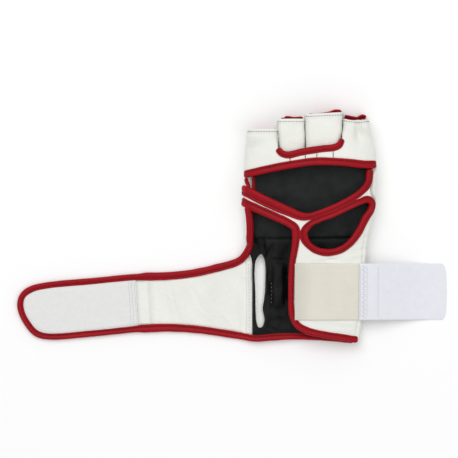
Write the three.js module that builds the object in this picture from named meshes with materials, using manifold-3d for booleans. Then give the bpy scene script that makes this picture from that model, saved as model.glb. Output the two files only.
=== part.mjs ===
// An open-palm grappling glove for the right hand, lying on its padded back with the palm up.
// Millimetres, +Z up, +Y towards the fingers, +X towards the thumb.
import * as THREE from "three";
import { mergeVertices } from "three/addons/utils/BufferGeometryUtils.js";
import Module from "manifold-3d";

const wasm = await Module();
wasm.setup();

// Driving dimensions
const HAND_WIDTH = 119;
const HAND_LENGTH = 211;
const GLOVE_DEPTH = 31;
const SIDE_HEIGHT = 14;
const PAD_THICKNESS = 12;
const SIDE_WALL = 3;
const LEATHER = 1.8;
const LINING_WALL = 1.2;
const ROLL_HEIGHT = 3;
const STRAP_LENGTH = 211;
const STRAP_WIDTH = 52;
const STRAP_WALL = 3;
const STRAP_FOLD = 1.2;
const PATCH_LENGTH = 104;
const PATCH_WALL = 1;
const ELASTIC_LENGTH = 58;
const ELASTIC_WIDTH = 50.8;
const ELASTIC_WALL = 1.4;
const TAB_LENGTH = 78.5;
const TAB_WALL = 1.5;
const TAB_CORNER = 8;
const BINDING_WIDTH = 6.4;
const BINDING_HEIGHT = 4.4;
const PAD_BINDING_WIDTH = 4;
const FINGER_SLIT = 3;
const LOOP_GAP = 0.5;
const GAP = 0.3;

// How square the palm's crown, the back's corners and the finger loops are
const CROWN_SQUARENESS = 2.5;
const BACK_SQUARENESS = 3.4;
const LOOP_SQUARENESS = 3;
const FLAT_SHARE = 0.18;

const LEATHER_WHITE = 0xebece4;
const LEATHER_RED = 0xac1a28;
const CLOTH_BLACK = 0x1e2020;
const ELASTIC_CREAM = 0xdedbd0;
const HOOK_WHITE = 0xe8e9ee;
const PATCH_WHITE = 0xe4e5e3;

// The hand from the wrist edge to the finger ends. along is a share of HAND_LENGTH; left and right are shares
// of HAND_WIDTH; crown is a share of GLOVE_DEPTH; leftSide and rightSide are the heights of the widest place,
// as shares of SIDE_HEIGHT; pad is a share of PAD_THICKNESS.
const SECTIONS = [
  { along: 0.0, left: 0.057, right: 0.871, crown: 0.5, leftSide: 0.29, rightSide: 0.58, pad: 0.33 },
  { along: 0.08, left: 0.057, right: 0.886, crown: 0.58, leftSide: 0.29, rightSide: 0.64, pad: 0.33 },
  { along: 0.22, left: 0.057, right: 0.913, crown: 0.69, leftSide: 0.31, rightSide: 0.75, pad: 0.35 },
  { along: 0.35, left: 0.057, right: 0.924, crown: 0.78, leftSide: 0.35, rightSide: 0.85, pad: 0.4 },
  { along: 0.4, left: 0.032, right: 0.929, crown: 0.82, leftSide: 0.5, rightSide: 0.89, pad: 0.46 },
  { along: 0.45, left: 0.006, right: 0.937, crown: 0.87, leftSide: 0.68, rightSide: 0.93, pad: 0.55 },
  { along: 0.54, left: -0.004, right: 0.977, crown: 0.94, leftSide: 0.86, rightSide: 0.97, pad: 0.72 },
  { along: 0.6, left: -0.008, right: 1.0, crown: 0.97, leftSide: 0.95, rightSide: 1.0, pad: 0.85 },
  { along: 0.64, left: -0.004, right: 1.002, crown: 0.985, leftSide: 1.0, rightSide: 1.0, pad: 0.93 },
  { along: 0.68, left: 0.0, right: 1.003, crown: 1.0, leftSide: 1.0, rightSide: 1.0, pad: 0.98 },
  { along: 0.705, left: 0.001, right: 1.003, crown: 1.0, leftSide: 1.0, rightSide: 1.0, pad: 1.0 },
  { along: 0.735, left: 0.002, right: 1.004, crown: 1.0, leftSide: 1.0, rightSide: 1.0, pad: 1.0 },
  { along: 0.755, left: 0.003, right: 1.003, crown: 0.995, leftSide: 1.0, rightSide: 1.0, pad: 1.0 },
  { along: 0.83, left: 0.01, right: 0.99, crown: 0.97, leftSide: 0.98, rightSide: 0.98, pad: 1.0 },
  { along: 0.88, left: 0.018, right: 0.974, crown: 0.93, leftSide: 0.96, rightSide: 0.96, pad: 1.0 },
  { along: 0.92, left: 0.03, right: 0.957, crown: 0.9, leftSide: 0.93, rightSide: 0.93, pad: 0.97 },
  { along: 0.96, left: 0.04, right: 0.938, crown: 0.88, leftSide: 0.88, rightSide: 0.88, pad: 0.93 },
  { along: 1.0, left: 0.05, right: 0.92, crown: 0.86, leftSide: 0.8, rightSide: 0.8, pad: 0.86 },
];

// The degrees that the side walls turn in over the hand.
const CURLS = [
  { along: 0.35, left: 0, right: 0 },
  { along: 0.4, left: 6, right: 0 },
  { along: 0.45, left: 21, right: 0 },
  { along: 0.54, left: 26, right: 0 },
  { along: 0.6, left: 25, right: 0 },
  { along: 0.64, left: 23, right: 20 },
  { along: 0.68, left: 20, right: 21 },
  { along: 0.705, left: 0, right: 21 },
  { along: 0.735, left: 0, right: 18 },
  { along: 0.755, left: 0, right: 0 },
];

// The fingers, from the little finger. tipFrom and tipTo are the ends of the loop's top edge along the hand,
// padFrom and padTo those of the pad under it; crest is the loop's height as a share of GLOVE_DEPTH.
const FINGERS = [
  { name: "little", tipFrom: 0.916, tipTo: 0.916, padFrom: 0.9, padTo: 0.905, crest: 0.9 },
  { name: "ring", tipFrom: 0.959, tipTo: 0.959, padFrom: 0.958, padTo: 0.963, crest: 0.87 },
  { name: "middle", tipFrom: 0.979, tipTo: 0.985, padFrom: 0.976, padTo: 0.99, crest: 0.89 },
  { name: "index", tipFrom: 0.959, tipTo: 0.956, padFrom: 0.966, padTo: 0.966, crest: 0.9 },
];
// The valleys between the fingers, across the hand at their root and at their tip.
const VALLEYS = [
  { root: 0.262, tip: 0.249 },
  { root: 0.463, tip: 0.458 },
  { root: 0.731, tip: 0.748 },
];
const INDEX_DIP = 0.006;
const LOOP_ROOT = 0.79;
const VALLEY_TIP = 0.96;
const SLIT_ROOT = 0.83;
const ARCH_RUN = 0.055;
const BAND_FROM = 0.7;
const FAR_ALONG = 1.1;
const MARGIN_ACROSS = 0.1;

// The edges that the red bindings follow, in order. across is a share of HAND_WIDTH, along of HAND_LENGTH and
// width of BINDING_WIDTH.
const FINGER_BAND_EDGE = [
  { across: 0.006, along: 0.722, width: 1.05 },
  { across: 0.15, along: 0.741, width: 1.1 },
  { across: 0.32, along: 0.76, width: 1.1 },
  { across: 0.53, along: 0.777, width: 1.1 },
  { across: 0.74, along: 0.774, width: 1.1 },
  { across: 0.9, along: 0.765, width: 1.1 },
  { across: 0.993, along: 0.765, width: 1.1 },
];
const FINGER_SLOT_EDGE = [
  { across: 0.252, along: 0.832, width: 0.85 },
  { across: 0.284, along: 0.812, width: 0.95 },
  { across: 0.33, along: 0.805, width: 1.0 },
  { across: 0.44, along: 0.818, width: 1.0 },
  { across: 0.59, along: 0.831, width: 1.0 },
  { across: 0.68, along: 0.837, width: 1.0 },
  { across: 0.718, along: 0.848, width: 0.95 },
  { across: 0.74, along: 0.873, width: 0.75 },
];
const PALM_OPENING_EDGE = [
  { across: 0.004, along: 0.65, width: 1.2 },
  { across: 0.106, along: 0.626, width: 1.35 },
  { across: 0.22, along: 0.595, width: 1.35 },
  { across: 0.348, along: 0.564, width: 1.25 },
  { across: 0.425, along: 0.546, width: 1.1 },
  { across: 0.485, along: 0.543, width: 1.0 },
  { across: 0.56, along: 0.556, width: 0.9 },
  { across: 0.675, along: 0.581, width: 0.9 },
  { across: 0.795, along: 0.615, width: 0.9 },
  { across: 0.875, along: 0.645, width: 0.95 },
  { across: 0.932, along: 0.682, width: 1.0 },
  { across: 0.95, along: 0.738, width: 1.0 },
];
const WRIST_OPENING_EDGE = [
  { across: 0.004, along: 0.602, width: 1.05 },
  { across: 0.1, along: 0.575, width: 1.1 },
  { across: 0.227, along: 0.544, width: 1.15 },
  { across: 0.337, along: 0.516, width: 1.1 },
  { across: 0.385, along: 0.494, width: 1.0 },
  { across: 0.392, along: 0.468, width: 0.95 },
  { across: 0.384, along: 0.413, width: 0.9 },
  { across: 0.364, along: 0.343, width: 0.9 },
  { across: 0.356, along: 0.222, width: 0.85 },
  { across: 0.362, along: 0.13, width: 0.9 },
  { across: 0.395, along: 0.086, width: 1.0 },
  { across: 0.477, along: 0.057, width: 1.0 },
  { across: 0.614, along: 0.039, width: 0.95 },
  { across: 0.765, along: 0.026, width: 0.95 },
  { across: 0.858, along: 0.017, width: 0.95 },
];
const THUMB_HOLE_EDGE = [
  { across: 0.455, along: 0.482, width: 0.95 },
  { across: 0.5, along: 0.512, width: 0.9 },
  { across: 0.565, along: 0.53, width: 0.85 },
  { across: 0.675, along: 0.554, width: 0.85 },
  { across: 0.795, along: 0.586, width: 0.85 },
  { across: 0.87, along: 0.606, width: 0.95 },
  { across: 0.932, along: 0.616, width: 1.0 },
  { across: 0.966, along: 0.6, width: 1.0 },
  { across: 0.958, along: 0.572, width: 1.0 },
  { across: 0.917, along: 0.536, width: 1.05 },
  { across: 0.864, along: 0.477, width: 1.0 },
  { across: 0.795, along: 0.428, width: 1.0 },
  { across: 0.723, along: 0.401, width: 1.0 },
  { across: 0.627, along: 0.39, width: 1.0 },
  { across: 0.54, along: 0.401, width: 1.0 },
  { across: 0.478, along: 0.428, width: 1.0 },
  { across: 0.452, along: 0.455, width: 0.95 },
];
const THUMB_LOWER_START = 9;
const WRIST_TURN = 5;
const BACK_LOWER_EDGE = [
  { across: 0.083, along: 0.015, width: 0.95 },
  { across: 0.34, along: 0.024, width: 0.9 },
  { across: 0.515, along: 0.022, width: 0.9 },
  { across: 0.674, along: 0.014, width: 0.9 },
  { across: 0.83, along: 0.009, width: 0.9 },
];

// The strap's edge from its root round the tip and back. out is a share of STRAP_LENGTH from the root seam,
// and over a share of STRAP_WIDTH from the strap's middle line.
const STRAP_ROOT_ACROSS = 0.053;
const STRAP_MIDDLE_ALONG = 0.162;
const STRAP_EDGE = [
  { out: 0.047, over: 0.79, width: 1.05 },
  { out: 0.157, over: 0.645, width: 1.05 },
  { out: 0.255, over: 0.56, width: 1.05 },
  { out: 0.353, over: 0.517, width: 1.0 },
  { out: 0.515, over: 0.492, width: 0.9 },
  { out: 0.677, over: 0.428, width: 0.9 },
  { out: 0.872, over: 0.353, width: 0.9 },
  { out: 0.938, over: 0.29, width: 0.9 },
  { out: 0.975, over: 0.185, width: 0.9 },
  { out: 0.987, over: 0.05, width: 0.9 },
  { out: 0.981, over: -0.12, width: 0.9 },
  { out: 0.955, over: -0.32, width: 0.9 },
  { out: 0.92, over: -0.475, width: 0.9 },
  { out: 0.87, over: -0.534, width: 0.9 },
  { out: 0.677, over: -0.483, width: 0.9 },
  { out: 0.481, over: -0.402, width: 0.95 },
  { out: 0.353, over: -0.383, width: 1.0 },
  { out: 0.221, over: -0.419, width: 1.0 },
  { out: 0.047, over: -0.524, width: 1.0 },
];
const STRAP_FOLD_OUT = 0.46;
const STRAP_FOLD_RUN = 0.05;
const STRAP_REACH = { low: -0.75, high: 1 };
const SIDE_EDGE_ALONG = [0.585, 0.54, 0.49, 0.45, 0.415];

// The slot in the back that the strap's end threads through, from its finger end round
const STRAP_SLOT = [
  { across: 0.133, along: 0.384 },
  { across: 0.161, along: 0.362 },
  { across: 0.167, along: 0.29 },
  { across: 0.155, along: 0.196 },
  { across: 0.148, along: 0.145 },
  { across: 0.157, along: 0.098 },
  { across: 0.127, along: 0.068 },
  { across: 0.1, along: 0.086 },
  { across: 0.089, along: 0.133 },
  { across: 0.083, along: 0.222 },
  { across: 0.077, along: 0.309 },
  { across: 0.092, along: 0.358 },
];

// The padded roll beside the slot
const ROLL = { across: 0.26, along: 0.25, width: 0.1, length: 0.2 };
const ROLL_ENDS = [0.15, 0.29];

// The elastic's middle line and its sewn end, on the palm
const ELASTIC_FROM = 0.383;
const ELASTIC_ALONG = 0.2225;

const acrossToX = (across) => (across - 0.5) * HAND_WIDTH;
const alongToY = (along) => along * HAND_LENGTH;
const strapX = (out) => acrossToX(STRAP_ROOT_ACROSS) - out * STRAP_LENGTH;
const strapY = (over) => alongToY(STRAP_MIDDLE_ALONG) + over * STRAP_WIDTH;
const margin = MARGIN_ACROSS * HAND_WIDTH;
const farLeft = acrossToX(0) - margin;
const farRight = acrossToX(1) + margin;
const smooth = (from, to, value) => THREE.MathUtils.smoothstep(value, from, to);
const signedPower = (value, power) => Math.sign(value) * Math.abs(value) ** power;

// Reads a table between its rows.
function reader(table) {
  const stations = table.map((row) => row.along);
  const names = Object.keys(table[0]);
  const readers = names.map((name) => {
    const values = table.map((row) => row[name]);
    return new THREE.LinearInterpolant(stations, values, 1, new Float64Array(1));
  });
  return (along) => {
    const held = THREE.MathUtils.clamp(along, stations[0], stations.at(-1));
    return Object.fromEntries(names.map((name, place) => [name, readers[place].evaluate(held)[0]]));
  };
}
const readSection = reader(SECTIONS);
const readCurl = reader(CURLS);
function section(along) {
  const row = readSection(along);
  const curl = readCurl(along);
  const left = acrossToX(row.left);
  const right = acrossToX(row.right);
  return {
    middle: (left + right) / 2,
    half: (right - left) / 2,
    crown: row.crown * GLOVE_DEPTH,
    leftSide: row.leftSide * SIDE_HEIGHT,
    rightSide: row.rightSide * SIDE_HEIGHT,
    pad: row.pad * PAD_THICKNESS,
    leftCurl: THREE.MathUtils.degToRad(curl.left),
    rightCurl: THREE.MathUtils.degToRad(curl.right),
  };
}

// The palm's outer face, as a height over the floor.
function palmHeight(x, y) {
  const row = section(y / HAND_LENGTH);
  const share = THREE.MathUtils.clamp((x - row.middle) / row.half, -1, 1);
  const side = share < 0 ? row.leftSide : row.rightSide;
  const rise = (1 - Math.abs(share) ** CROWN_SQUARENESS) ** (1 / CROWN_SQUARENESS);
  return side + (row.crown - side) * rise;
}

// A point of the palm's leather, inset from its outer face. turn runs from 0 at the left to 1 at the right.
function palmPoint(turn, along, inset) {
  const row = section(along);
  const angle = Math.PI * turn;
  const x = row.middle - (row.half - inset) * signedPower(Math.cos(angle), 2 / CROWN_SQUARENESS);
  const side = turn < 0.5 ? row.leftSide : row.rightSide;
  const z = side + GAP + (row.crown - inset - side) * Math.sin(angle) ** (2 / CROWN_SQUARENESS);
  return new THREE.Vector3(x, alongToY(along), z);
}

// A point of the back. turn runs from the left wall's rim under the hand to the right wall's rim. sideInset
// and floorInset draw the face in from the outer one.
function backPoint(turn, along, sideInset, floorInset) {
  const row = section(along);
  const angle = -row.leftCurl + (Math.PI + row.leftCurl + row.rightCurl) * turn;
  const onLeft = Math.cos(angle) > 0;
  const above = Math.sin(angle) < 0;
  const floor = floorInset(row);
  const side = Math.max(floor, onLeft ? row.leftSide : row.rightSide);
  const power = 2 / (above ? CROWN_SQUARENESS : BACK_SQUARENESS);
  const half = row.half - sideInset;
  const x = row.middle - half * signedPower(Math.cos(angle), power);
  const reach = Math.abs(Math.sin(angle)) ** power;
  const rimRise = (row.crown - sideInset - side) * reach;
  if (above) return new THREE.Vector3(x, alongToY(along), side + rimRise);
  const depth = (side - floor) * (1 + FLAT_SHARE) * reach;
  return new THREE.Vector3(x, alongToY(along), Math.max(floor, side - depth));
}

// Closed solid between two grids of points, outer[v][u], seen from outside with u to the right.
function slab(outer, inner) {
  const rows = outer.length;
  const across = outer[0].length;
  const positions = [...outer.flat(), ...inner.flat()].flatMap((point) => point.toArray());
  const outerAt = (v, u) => v * across + u;
  const innerAt = (v, u) => rows * across + outerAt(v, u);
  const last = across - 1;
  const lastRow = rows - 1;
  const index = [];
  const quad = (a, b, c, d) => index.push(a, b, c, a, c, d);
  for (let v = 0; v < rows - 1; v++) {
    for (let u = 0; u < across - 1; u++) {
      quad(outerAt(v, u), outerAt(v, u + 1), outerAt(v + 1, u + 1), outerAt(v + 1, u));
      quad(innerAt(v, u), innerAt(v + 1, u), innerAt(v + 1, u + 1), innerAt(v, u + 1));
    }
    quad(outerAt(v, 0), outerAt(v + 1, 0), innerAt(v + 1, 0), innerAt(v, 0));
    quad(outerAt(v + 1, last), outerAt(v, last), innerAt(v, last), innerAt(v + 1, last));
  }
  for (let u = 0; u < across - 1; u++) {
    quad(outerAt(0, u + 1), outerAt(0, u), innerAt(0, u), innerAt(0, u + 1));
    quad(outerAt(lastRow, u), outerAt(lastRow, u + 1), innerAt(lastRow, u + 1), innerAt(lastRow, u));
  }
  return meshGeometry(positions, index);
}

function meshGeometry(positions, index) {
  const geometry = new THREE.BufferGeometry();
  geometry.setAttribute("position", new THREE.Float32BufferAttribute(positions, 3));
  geometry.setIndex(index);
  return geometry;
}

// The grid moved inwards by a wall, along its own normals.
function inward(grid, wall) {
  const rows = grid.length;
  const across = grid[0].length;
  return grid.map((row, v) =>
    row.map((point, u) => {
      const alongRow = row[Math.min(u + 1, across - 1)].clone().sub(row[Math.max(u - 1, 0)]);
      const up = grid[Math.min(v + 1, rows - 1)][u].clone().sub(grid[Math.max(v - 1, 0)][u]);
      const normal = alongRow.cross(up).normalize();
      return point.clone().addScaledVector(normal, -wall);
    }),
  );
}

// The grid moved straight down.
function lowered(grid, drop) {
  return grid.map((row) => row.map((point) => new THREE.Vector3(point.x, point.y, point.z - drop)));
}

function grid(place, turns, stations) {
  return stations.map((station) => turns.map((turn) => place(turn, station)));
}

function evenly(from, to, steps) {
  return Array.from({ length: steps + 1 }, (_, step) => from + ((to - from) * step) / steps);
}

function solid(geometry) {
  const bare = geometry.clone();
  bare.deleteAttribute("normal");
  bare.deleteAttribute("uv");
  const merged = mergeVertices(bare, 1e-4);
  return new wasm.Manifold(
    new wasm.Mesh({
      numProp: 3,
      vertProperties: new Float32Array(merged.attributes.position.array),
      triVerts: new Uint32Array(merged.index.array),
    }),
  );
}

// Upright block over a closed outline of points, through the whole height of the glove.
function block(outline) {
  const shape = new THREE.Shape(outline.map((point) => new THREE.Vector2(point.x, point.y)));
  const geometry = new THREE.ExtrudeGeometry(shape, { depth: 3 * GLOVE_DEPTH, bevelEnabled: false });
  geometry.translate(0, 0, -GLOVE_DEPTH);
  return solid(geometry);
}

// Red leather folded over an edge: a flat bar with eight sides along points that each have a width.
const BAR_SIDES = [
  [0.5, 0.2],
  [0.32, 0.5],
  [-0.32, 0.5],
  [-0.5, 0.2],
  [-0.5, -0.2],
  [-0.32, -0.5],
  [0.32, -0.5],
  [0.5, -0.2],
];
const BAR_STEP = 8;
function bar(stops, { height = BINDING_HEIGHT, grow = 0, closed = false } = {}) {
  const curve = new THREE.CatmullRomCurve3(stops.map((stop) => stop.point), closed, "centripetal");
  const steps = Math.max(4, Math.round(curve.getLength() / BAR_STEP));
  const count = closed ? steps : steps + 1;
  const positions = [];
  for (let step = 0; step < count; step++) {
    const share = curve.getUtoTmapping(step / steps);
    const centre = curve.getPoint(share);
    centre.z = Math.max(centre.z, height / 2);
    const ahead = curve.getTangent(share);
    const place = share * (closed ? stops.length : stops.length - 1);
    const before = stops[Math.floor(place) % stops.length];
    const next = Math.floor(place) + 1;
    const after = closed ? stops[next % stops.length] : stops[Math.min(next, stops.length - 1)];
    const between = place % 1;
    const width = THREE.MathUtils.lerp(before.width, after.width, between);
    const up = before.up.clone().lerp(after.up, between);
    up.addScaledVector(ahead, -up.dot(ahead)).normalize();
    const out = ahead.clone().cross(up);
    if (!closed && step === 0) centre.addScaledVector(ahead, -grow);
    if (!closed && step === steps) centre.addScaledVector(ahead, grow);
    for (const [wide, high] of BAR_SIDES) {
      const point = centre.clone();
      point.addScaledVector(out, wide * (width + 2 * grow));
      point.addScaledVector(up, high * (height + 2 * grow));
      positions.push(...point.toArray());
    }
  }
  const sides = BAR_SIDES.length;
  const index = [];
  for (let step = 0; step < (closed ? count : count - 1); step++) {
    for (let side = 0; side < sides; side++) {
      const a = step * sides + side;
      const b = step * sides + ((side + 1) % sides);
      const c = ((step + 1) % count) * sides + ((side + 1) % sides);
      const d = ((step + 1) % count) * sides + side;
      index.push(a, c, b, a, d, c);
    }
  }
  if (!closed) {
    const last = (count - 1) * sides;
    for (let side = 1; side < sides - 1; side++) {
      index.push(0, side, side + 1);
      index.push(last, last + side + 1, last + side);
    }
  }
  return solid(meshGeometry(positions, index));
}

// The palm's upward direction at a point, leaning out towards the sides.
const SLOPE_STEP = 2;
const STEEPEST = 1.2;
function surfaceNormal(point) {
  const outward = palmHeight(point.x + SLOPE_STEP, point.y);
  const inner = palmHeight(point.x - SLOPE_STEP, point.y);
  const slope = (outward - inner) / (2 * SLOPE_STEP);
  return new THREE.Vector3(-THREE.MathUtils.clamp(slope, -STEEPEST, STEEPEST), 0, 1).normalize();
}

// Stops of an edge that lies in the palm's leather.
function palmStops(edge) {
  return edge.map((row) => {
    const x = acrossToX(row.across);
    const y = alongToY(row.along);
    const point = new THREE.Vector3(x, y, palmHeight(x, y) + GAP - LEATHER / 2);
    return { point, width: row.width * BINDING_WIDTH, up: surfaceNormal(point) };
  });
}

const UPRIGHT = new THREE.Vector3(0, 0, 1);
function floorStops(edge) {
  return edge.map((row) => {
    const x = row.out === undefined ? acrossToX(row.across) : strapX(row.out);
    const y = row.out === undefined ? alongToY(row.along) : strapY(row.over);
    const point = new THREE.Vector3(x, y, BINDING_HEIGHT / 2);
    return { point, width: row.width * BINDING_WIDTH, up: UPRIGHT };
  });
}

// Stops along the rim of the left side wall.
function sideStops() {
  return SIDE_EDGE_ALONG.map((along) => {
    const outer = backPoint(0, along, 0, () => 0);
    const inner = backPoint(0, along, SIDE_WALL, (row) => row.pad);
    const point = outer.lerp(inner, 0.5);
    return { point, width: BINDING_WIDTH, up: surfaceNormal(point) };
  });
}

const fingerEnd = (finger, share) => THREE.MathUtils.lerp(finger.tipFrom, finger.tipTo, share);
const padEnd = (finger, share) => THREE.MathUtils.lerp(finger.padFrom, finger.padTo, share);
const padTop = (y) => section(y / HAND_LENGTH).pad;
function valleyX(number, along) {
  const valley = VALLEYS[number];
  const share = (along - LOOP_ROOT) / (VALLEY_TIP - LOOP_ROOT);
  return acrossToX(THREE.MathUtils.lerp(valley.root, valley.tip, share));
}
// The sides of a finger at a place along the hand.
function fingerSides(finger, along) {
  const number = FINGERS.indexOf(finger);
  const row = section(along);
  const from = number === 0 ? row.middle - row.half : valleyX(number - 1, along);
  const to = number === VALLEYS.length ? row.middle + row.half : valleyX(number, along);
  return { from, to };
}

// Stops along the end of a finger's pad.
function padStops(finger) {
  const inset = (FINGER_SLIT + PAD_BINDING_WIDTH) / 2;
  const sides = fingerSides(finger, finger.padFrom);
  const from = sides.from + inset;
  const to = sides.to - inset;
  return [0, 0.25, 0.5, 0.75, 1].map((share) => {
    const bulge = Math.sin(Math.PI * share) * (finger.name === "index" ? -INDEX_DIP : INDEX_DIP);
    const y = alongToY(padEnd(finger, share) + bulge) - PAD_BINDING_WIDTH / 2;
    const point = new THREE.Vector3(THREE.MathUtils.lerp(from, to, share), y, padTop(y) / 2 + GAP);
    return { point, width: PAD_BINDING_WIDTH, up: UPRIGHT };
  });
}

const [LITTLE, RING, MIDDLE, INDEX] = FINGERS;

// A separate finger loop: leather bent over the finger, with both feet on the pad.
const LOOP_TURNS = 14;
const LOOP_ROWS = 5;
const LOOP_DROP = 1.2;
function fingerLoop(finger) {
  const place = (turn, station) => {
    const angle = Math.PI * turn;
    const reach = Math.sin(angle) ** (2 / LOOP_SQUARENESS);
    const acrossShare = (1 - signedPower(Math.cos(angle), 2 / LOOP_SQUARENESS)) / 2;
    const tip = alongToY(fingerEnd(finger, acrossShare));
    const y = THREE.MathUtils.lerp(alongToY(LOOP_ROOT), tip, station);
    const foot = padTop(y) + GAP;
    const crest = finger.crest * GLOVE_DEPTH - LOOP_DROP * (1 - station);
    const sides = fingerSides(finger, y / HAND_LENGTH);
    const x = THREE.MathUtils.lerp(sides.from + LOOP_GAP / 2, sides.to - LOOP_GAP / 2, acrossShare);
    return new THREE.Vector3(x, y, foot + (crest - foot) * reach);
  };
  const outer = grid(place, evenly(0, 1, LOOP_TURNS), evenly(0, 1, LOOP_ROWS));
  return solid(slab(outer, inward(outer, LEATHER)));
}

// The palm side of the fingers: one leather piece that arches over the little finger and the index finger.
const BAND_ROWS = 11;
const ARCH_TURNS = 9;
const VALLEY_SHARE = 0.012;
const ARCH_BUNCHING = 0.8;
const bunched = (turn) => (1 - signedPower(Math.cos(Math.PI * turn), ARCH_BUNCHING)) / 2;
function fingerBand() {
  const bent = evenly(0, 1, ARCH_TURNS).map(bunched);
  const columnsAcross = [
    ...bent.map((share) => ({ finger: LITTLE, share })),
    ...[VALLEY_SHARE, 0.2, 0.4, 0.6, 0.8, 1 - VALLEY_SHARE].map((share) => ({ finger: null, share })),
    ...bent.map((share) => ({ finger: INDEX, share })),
  ];
  const place = (column, station) => {
    const finger = column.finger;
    const tip = !finger ? MIDDLE.tipTo : fingerEnd(finger, column.share);
    const dip = finger === INDEX ? INDEX_DIP * Math.sin(Math.PI * column.share) * station : 0;
    const along = THREE.MathUtils.lerp(BAND_FROM, tip, station) - dip;
    const row = section(along);
    const y = alongToY(along);
    const leftEdge = row.middle - row.half;
    const rightEdge = row.middle + row.half;
    const innerLeft = fingerSides(LITTLE, along).to - LOOP_GAP / 2;
    const innerRight = fingerSides(INDEX, along).from + LOOP_GAP / 2;
    let x = THREE.MathUtils.lerp(innerLeft, innerRight, column.share);
    if (finger === LITTLE) x = THREE.MathUtils.lerp(leftEdge, innerLeft, column.share);
    if (finger === INDEX) x = THREE.MathUtils.lerp(innerRight, rightEdge, column.share);
    const flat = palmHeight(x, y);
    if (!finger) return new THREE.Vector3(x, y, flat + GAP);
    const side = finger === LITTLE ? row.leftSide : row.rightSide;
    const foot = Math.min(side, row.pad + GAP);
    const outside = finger === LITTLE ? column.share < 0.5 : column.share > 0.5;
    const base = outside ? side : foot;
    const reach = (1 - Math.abs(2 * column.share - 1) ** LOOP_SQUARENESS) ** (1 / LOOP_SQUARENESS);
    const arch = base + (finger.crest * GLOVE_DEPTH - base) * reach;
    const slotEnd = finger === LITTLE ? FINGER_SLOT_EDGE[0].along : FINGER_SLOT_EDGE.at(-1).along;
    const blend = smooth(slotEnd, slotEnd + ARCH_RUN, along);
    return new THREE.Vector3(x, y, THREE.MathUtils.lerp(flat, arch, blend) + GAP);
  };
  const outer = grid(place, columnsAcross, evenly(0, 1, BAND_ROWS));
  const inner = inward(outer, LEATHER);
  outer.forEach((row, v) => {
    inner[v][0].copy(row[0]).x += LEATHER;
    inner[v].at(-1).copy(row.at(-1)).x -= LEATHER;
  });
  const sheet = solid(slab(outer, inner));
  const lower = curved(FINGER_BAND_EDGE);
  const above = alongToY(FAR_ALONG);
  const keep = block([
    { x: farLeft, y: lower[0].y },
    ...lower,
    { x: farRight, y: lower.at(-1).y },
    { x: farRight, y: above },
    { x: farLeft, y: above },
  ]);
  const slotEdge = curved(FINGER_SLOT_EDGE);
  slotEdge[0].x = valleyX(0, FINGER_SLOT_EDGE[0].along) - LOOP_GAP / 2;
  slotEdge.at(-1).x = valleyX(2, FINGER_SLOT_EDGE.at(-1).along) + LOOP_GAP / 2;
  const opening = block([
    { x: valleyX(0, FAR_ALONG) - LOOP_GAP / 2, y: above },
    ...slotEdge,
    { x: valleyX(2, FAR_ALONG) + LOOP_GAP / 2, y: above },
  ]);
  return sheet.intersect(keep).subtract(opening);
}

const EDGE_STEP = 7;
const smoothed = (line) => {
  const curve = new THREE.SplineCurve(line);
  return curve.getSpacedPoints(Math.round(curve.getLength() / EDGE_STEP));
};
const curved = (edge) =>
  smoothed(edge.map((row) => new THREE.Vector2(acrossToX(row.across), alongToY(row.along))));

// The palm's leather as one sheet, to be cut to its pieces.
const PALM_TURNS = 18;
const PALM_TOP = 0.64;
const NECK_FROM = 0.4;
function palmSheet(fromAlong, toAlong) {
  const stations = backStations.filter((along) => along >= fromAlong && along <= toAlong);
  const turns = evenly(0, 1, PALM_TURNS);
  const face = (inset) => grid((turn, along) => palmPoint(turn, along, inset), turns, stations);
  return solid(slab(face(0), face(LEATHER)));
}

function palmPanel() {
  const aroundThumb = THUMB_HOLE_EDGE.slice(THUMB_LOWER_START - 2);
  const outline = [
    ...curved(WRIST_OPENING_EDGE.slice(WRIST_TURN)),
    { x: farRight, y: alongToY(WRIST_OPENING_EDGE.at(-1).along) },
    { x: farRight, y: alongToY(aroundThumb[0].along) },
    ...curved(aroundThumb),
  ];
  return palmSheet(0, PALM_TOP).intersect(block(outline));
}

function palmNeck() {
  const outline = [
    ...PALM_OPENING_EDGE.slice(3, 7),
    ...THUMB_HOLE_EDGE.slice(0, 3).reverse(),
    ...WRIST_OPENING_EDGE.slice(3, 6).reverse(),
  ].map((row) => ({ x: acrossToX(row.across), y: alongToY(row.along) }));
  return palmSheet(NECK_FROM, PALM_TOP).intersect(block(outline));
}

const BACK_TURNS = 18;
const SLOT_SIDES = 20;
const backStations = SECTIONS.map((row) => row.along);

// The outline of the back: its lower edge, and an end for each finger with a slit between them.
function backOutline() {
  const lower = curved(BACK_LOWER_EDGE);
  const ends = [...FINGERS].reverse().flatMap((finger, place) => {
    const outerMost = { left: finger === LITTLE, right: place === 0 };
    const leftMargin = outerMost.left ? -margin : FINGER_SLIT / 2;
    const rightMargin = outerMost.right ? margin : -FINGER_SLIT / 2;
    const fromAt = (along) => fingerSides(finger, along).from + leftMargin;
    const toAt = (along) => fingerSides(finger, along).to + rightMargin;
    const endAt = (share) => alongToY(padEnd(finger, share)) - PAD_BINDING_WIDTH - GAP;
    const points = [
      { x: toAt(finger.padTo), y: endAt(1) },
      { x: fromAt(finger.padFrom), y: endAt(0) },
    ];
    if (!outerMost.right) points.unshift({ x: toAt(SLIT_ROOT), y: alongToY(SLIT_ROOT) });
    if (!outerMost.left) points.push({ x: fromAt(SLIT_ROOT), y: alongToY(SLIT_ROOT) });
    return points;
  });
  return [
    { x: farLeft, y: lower[0].y },
    ...lower,
    { x: farRight, y: lower.at(-1).y },
    ...ends,
  ];
}

function strapSlot() {
  const points = STRAP_SLOT.map((row) => new THREE.Vector3(acrossToX(row.across), alongToY(row.along), 0));
  return block(new THREE.CatmullRomCurve3(points, true).getSpacedPoints(SLOT_SIDES).slice(1));
}

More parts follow.
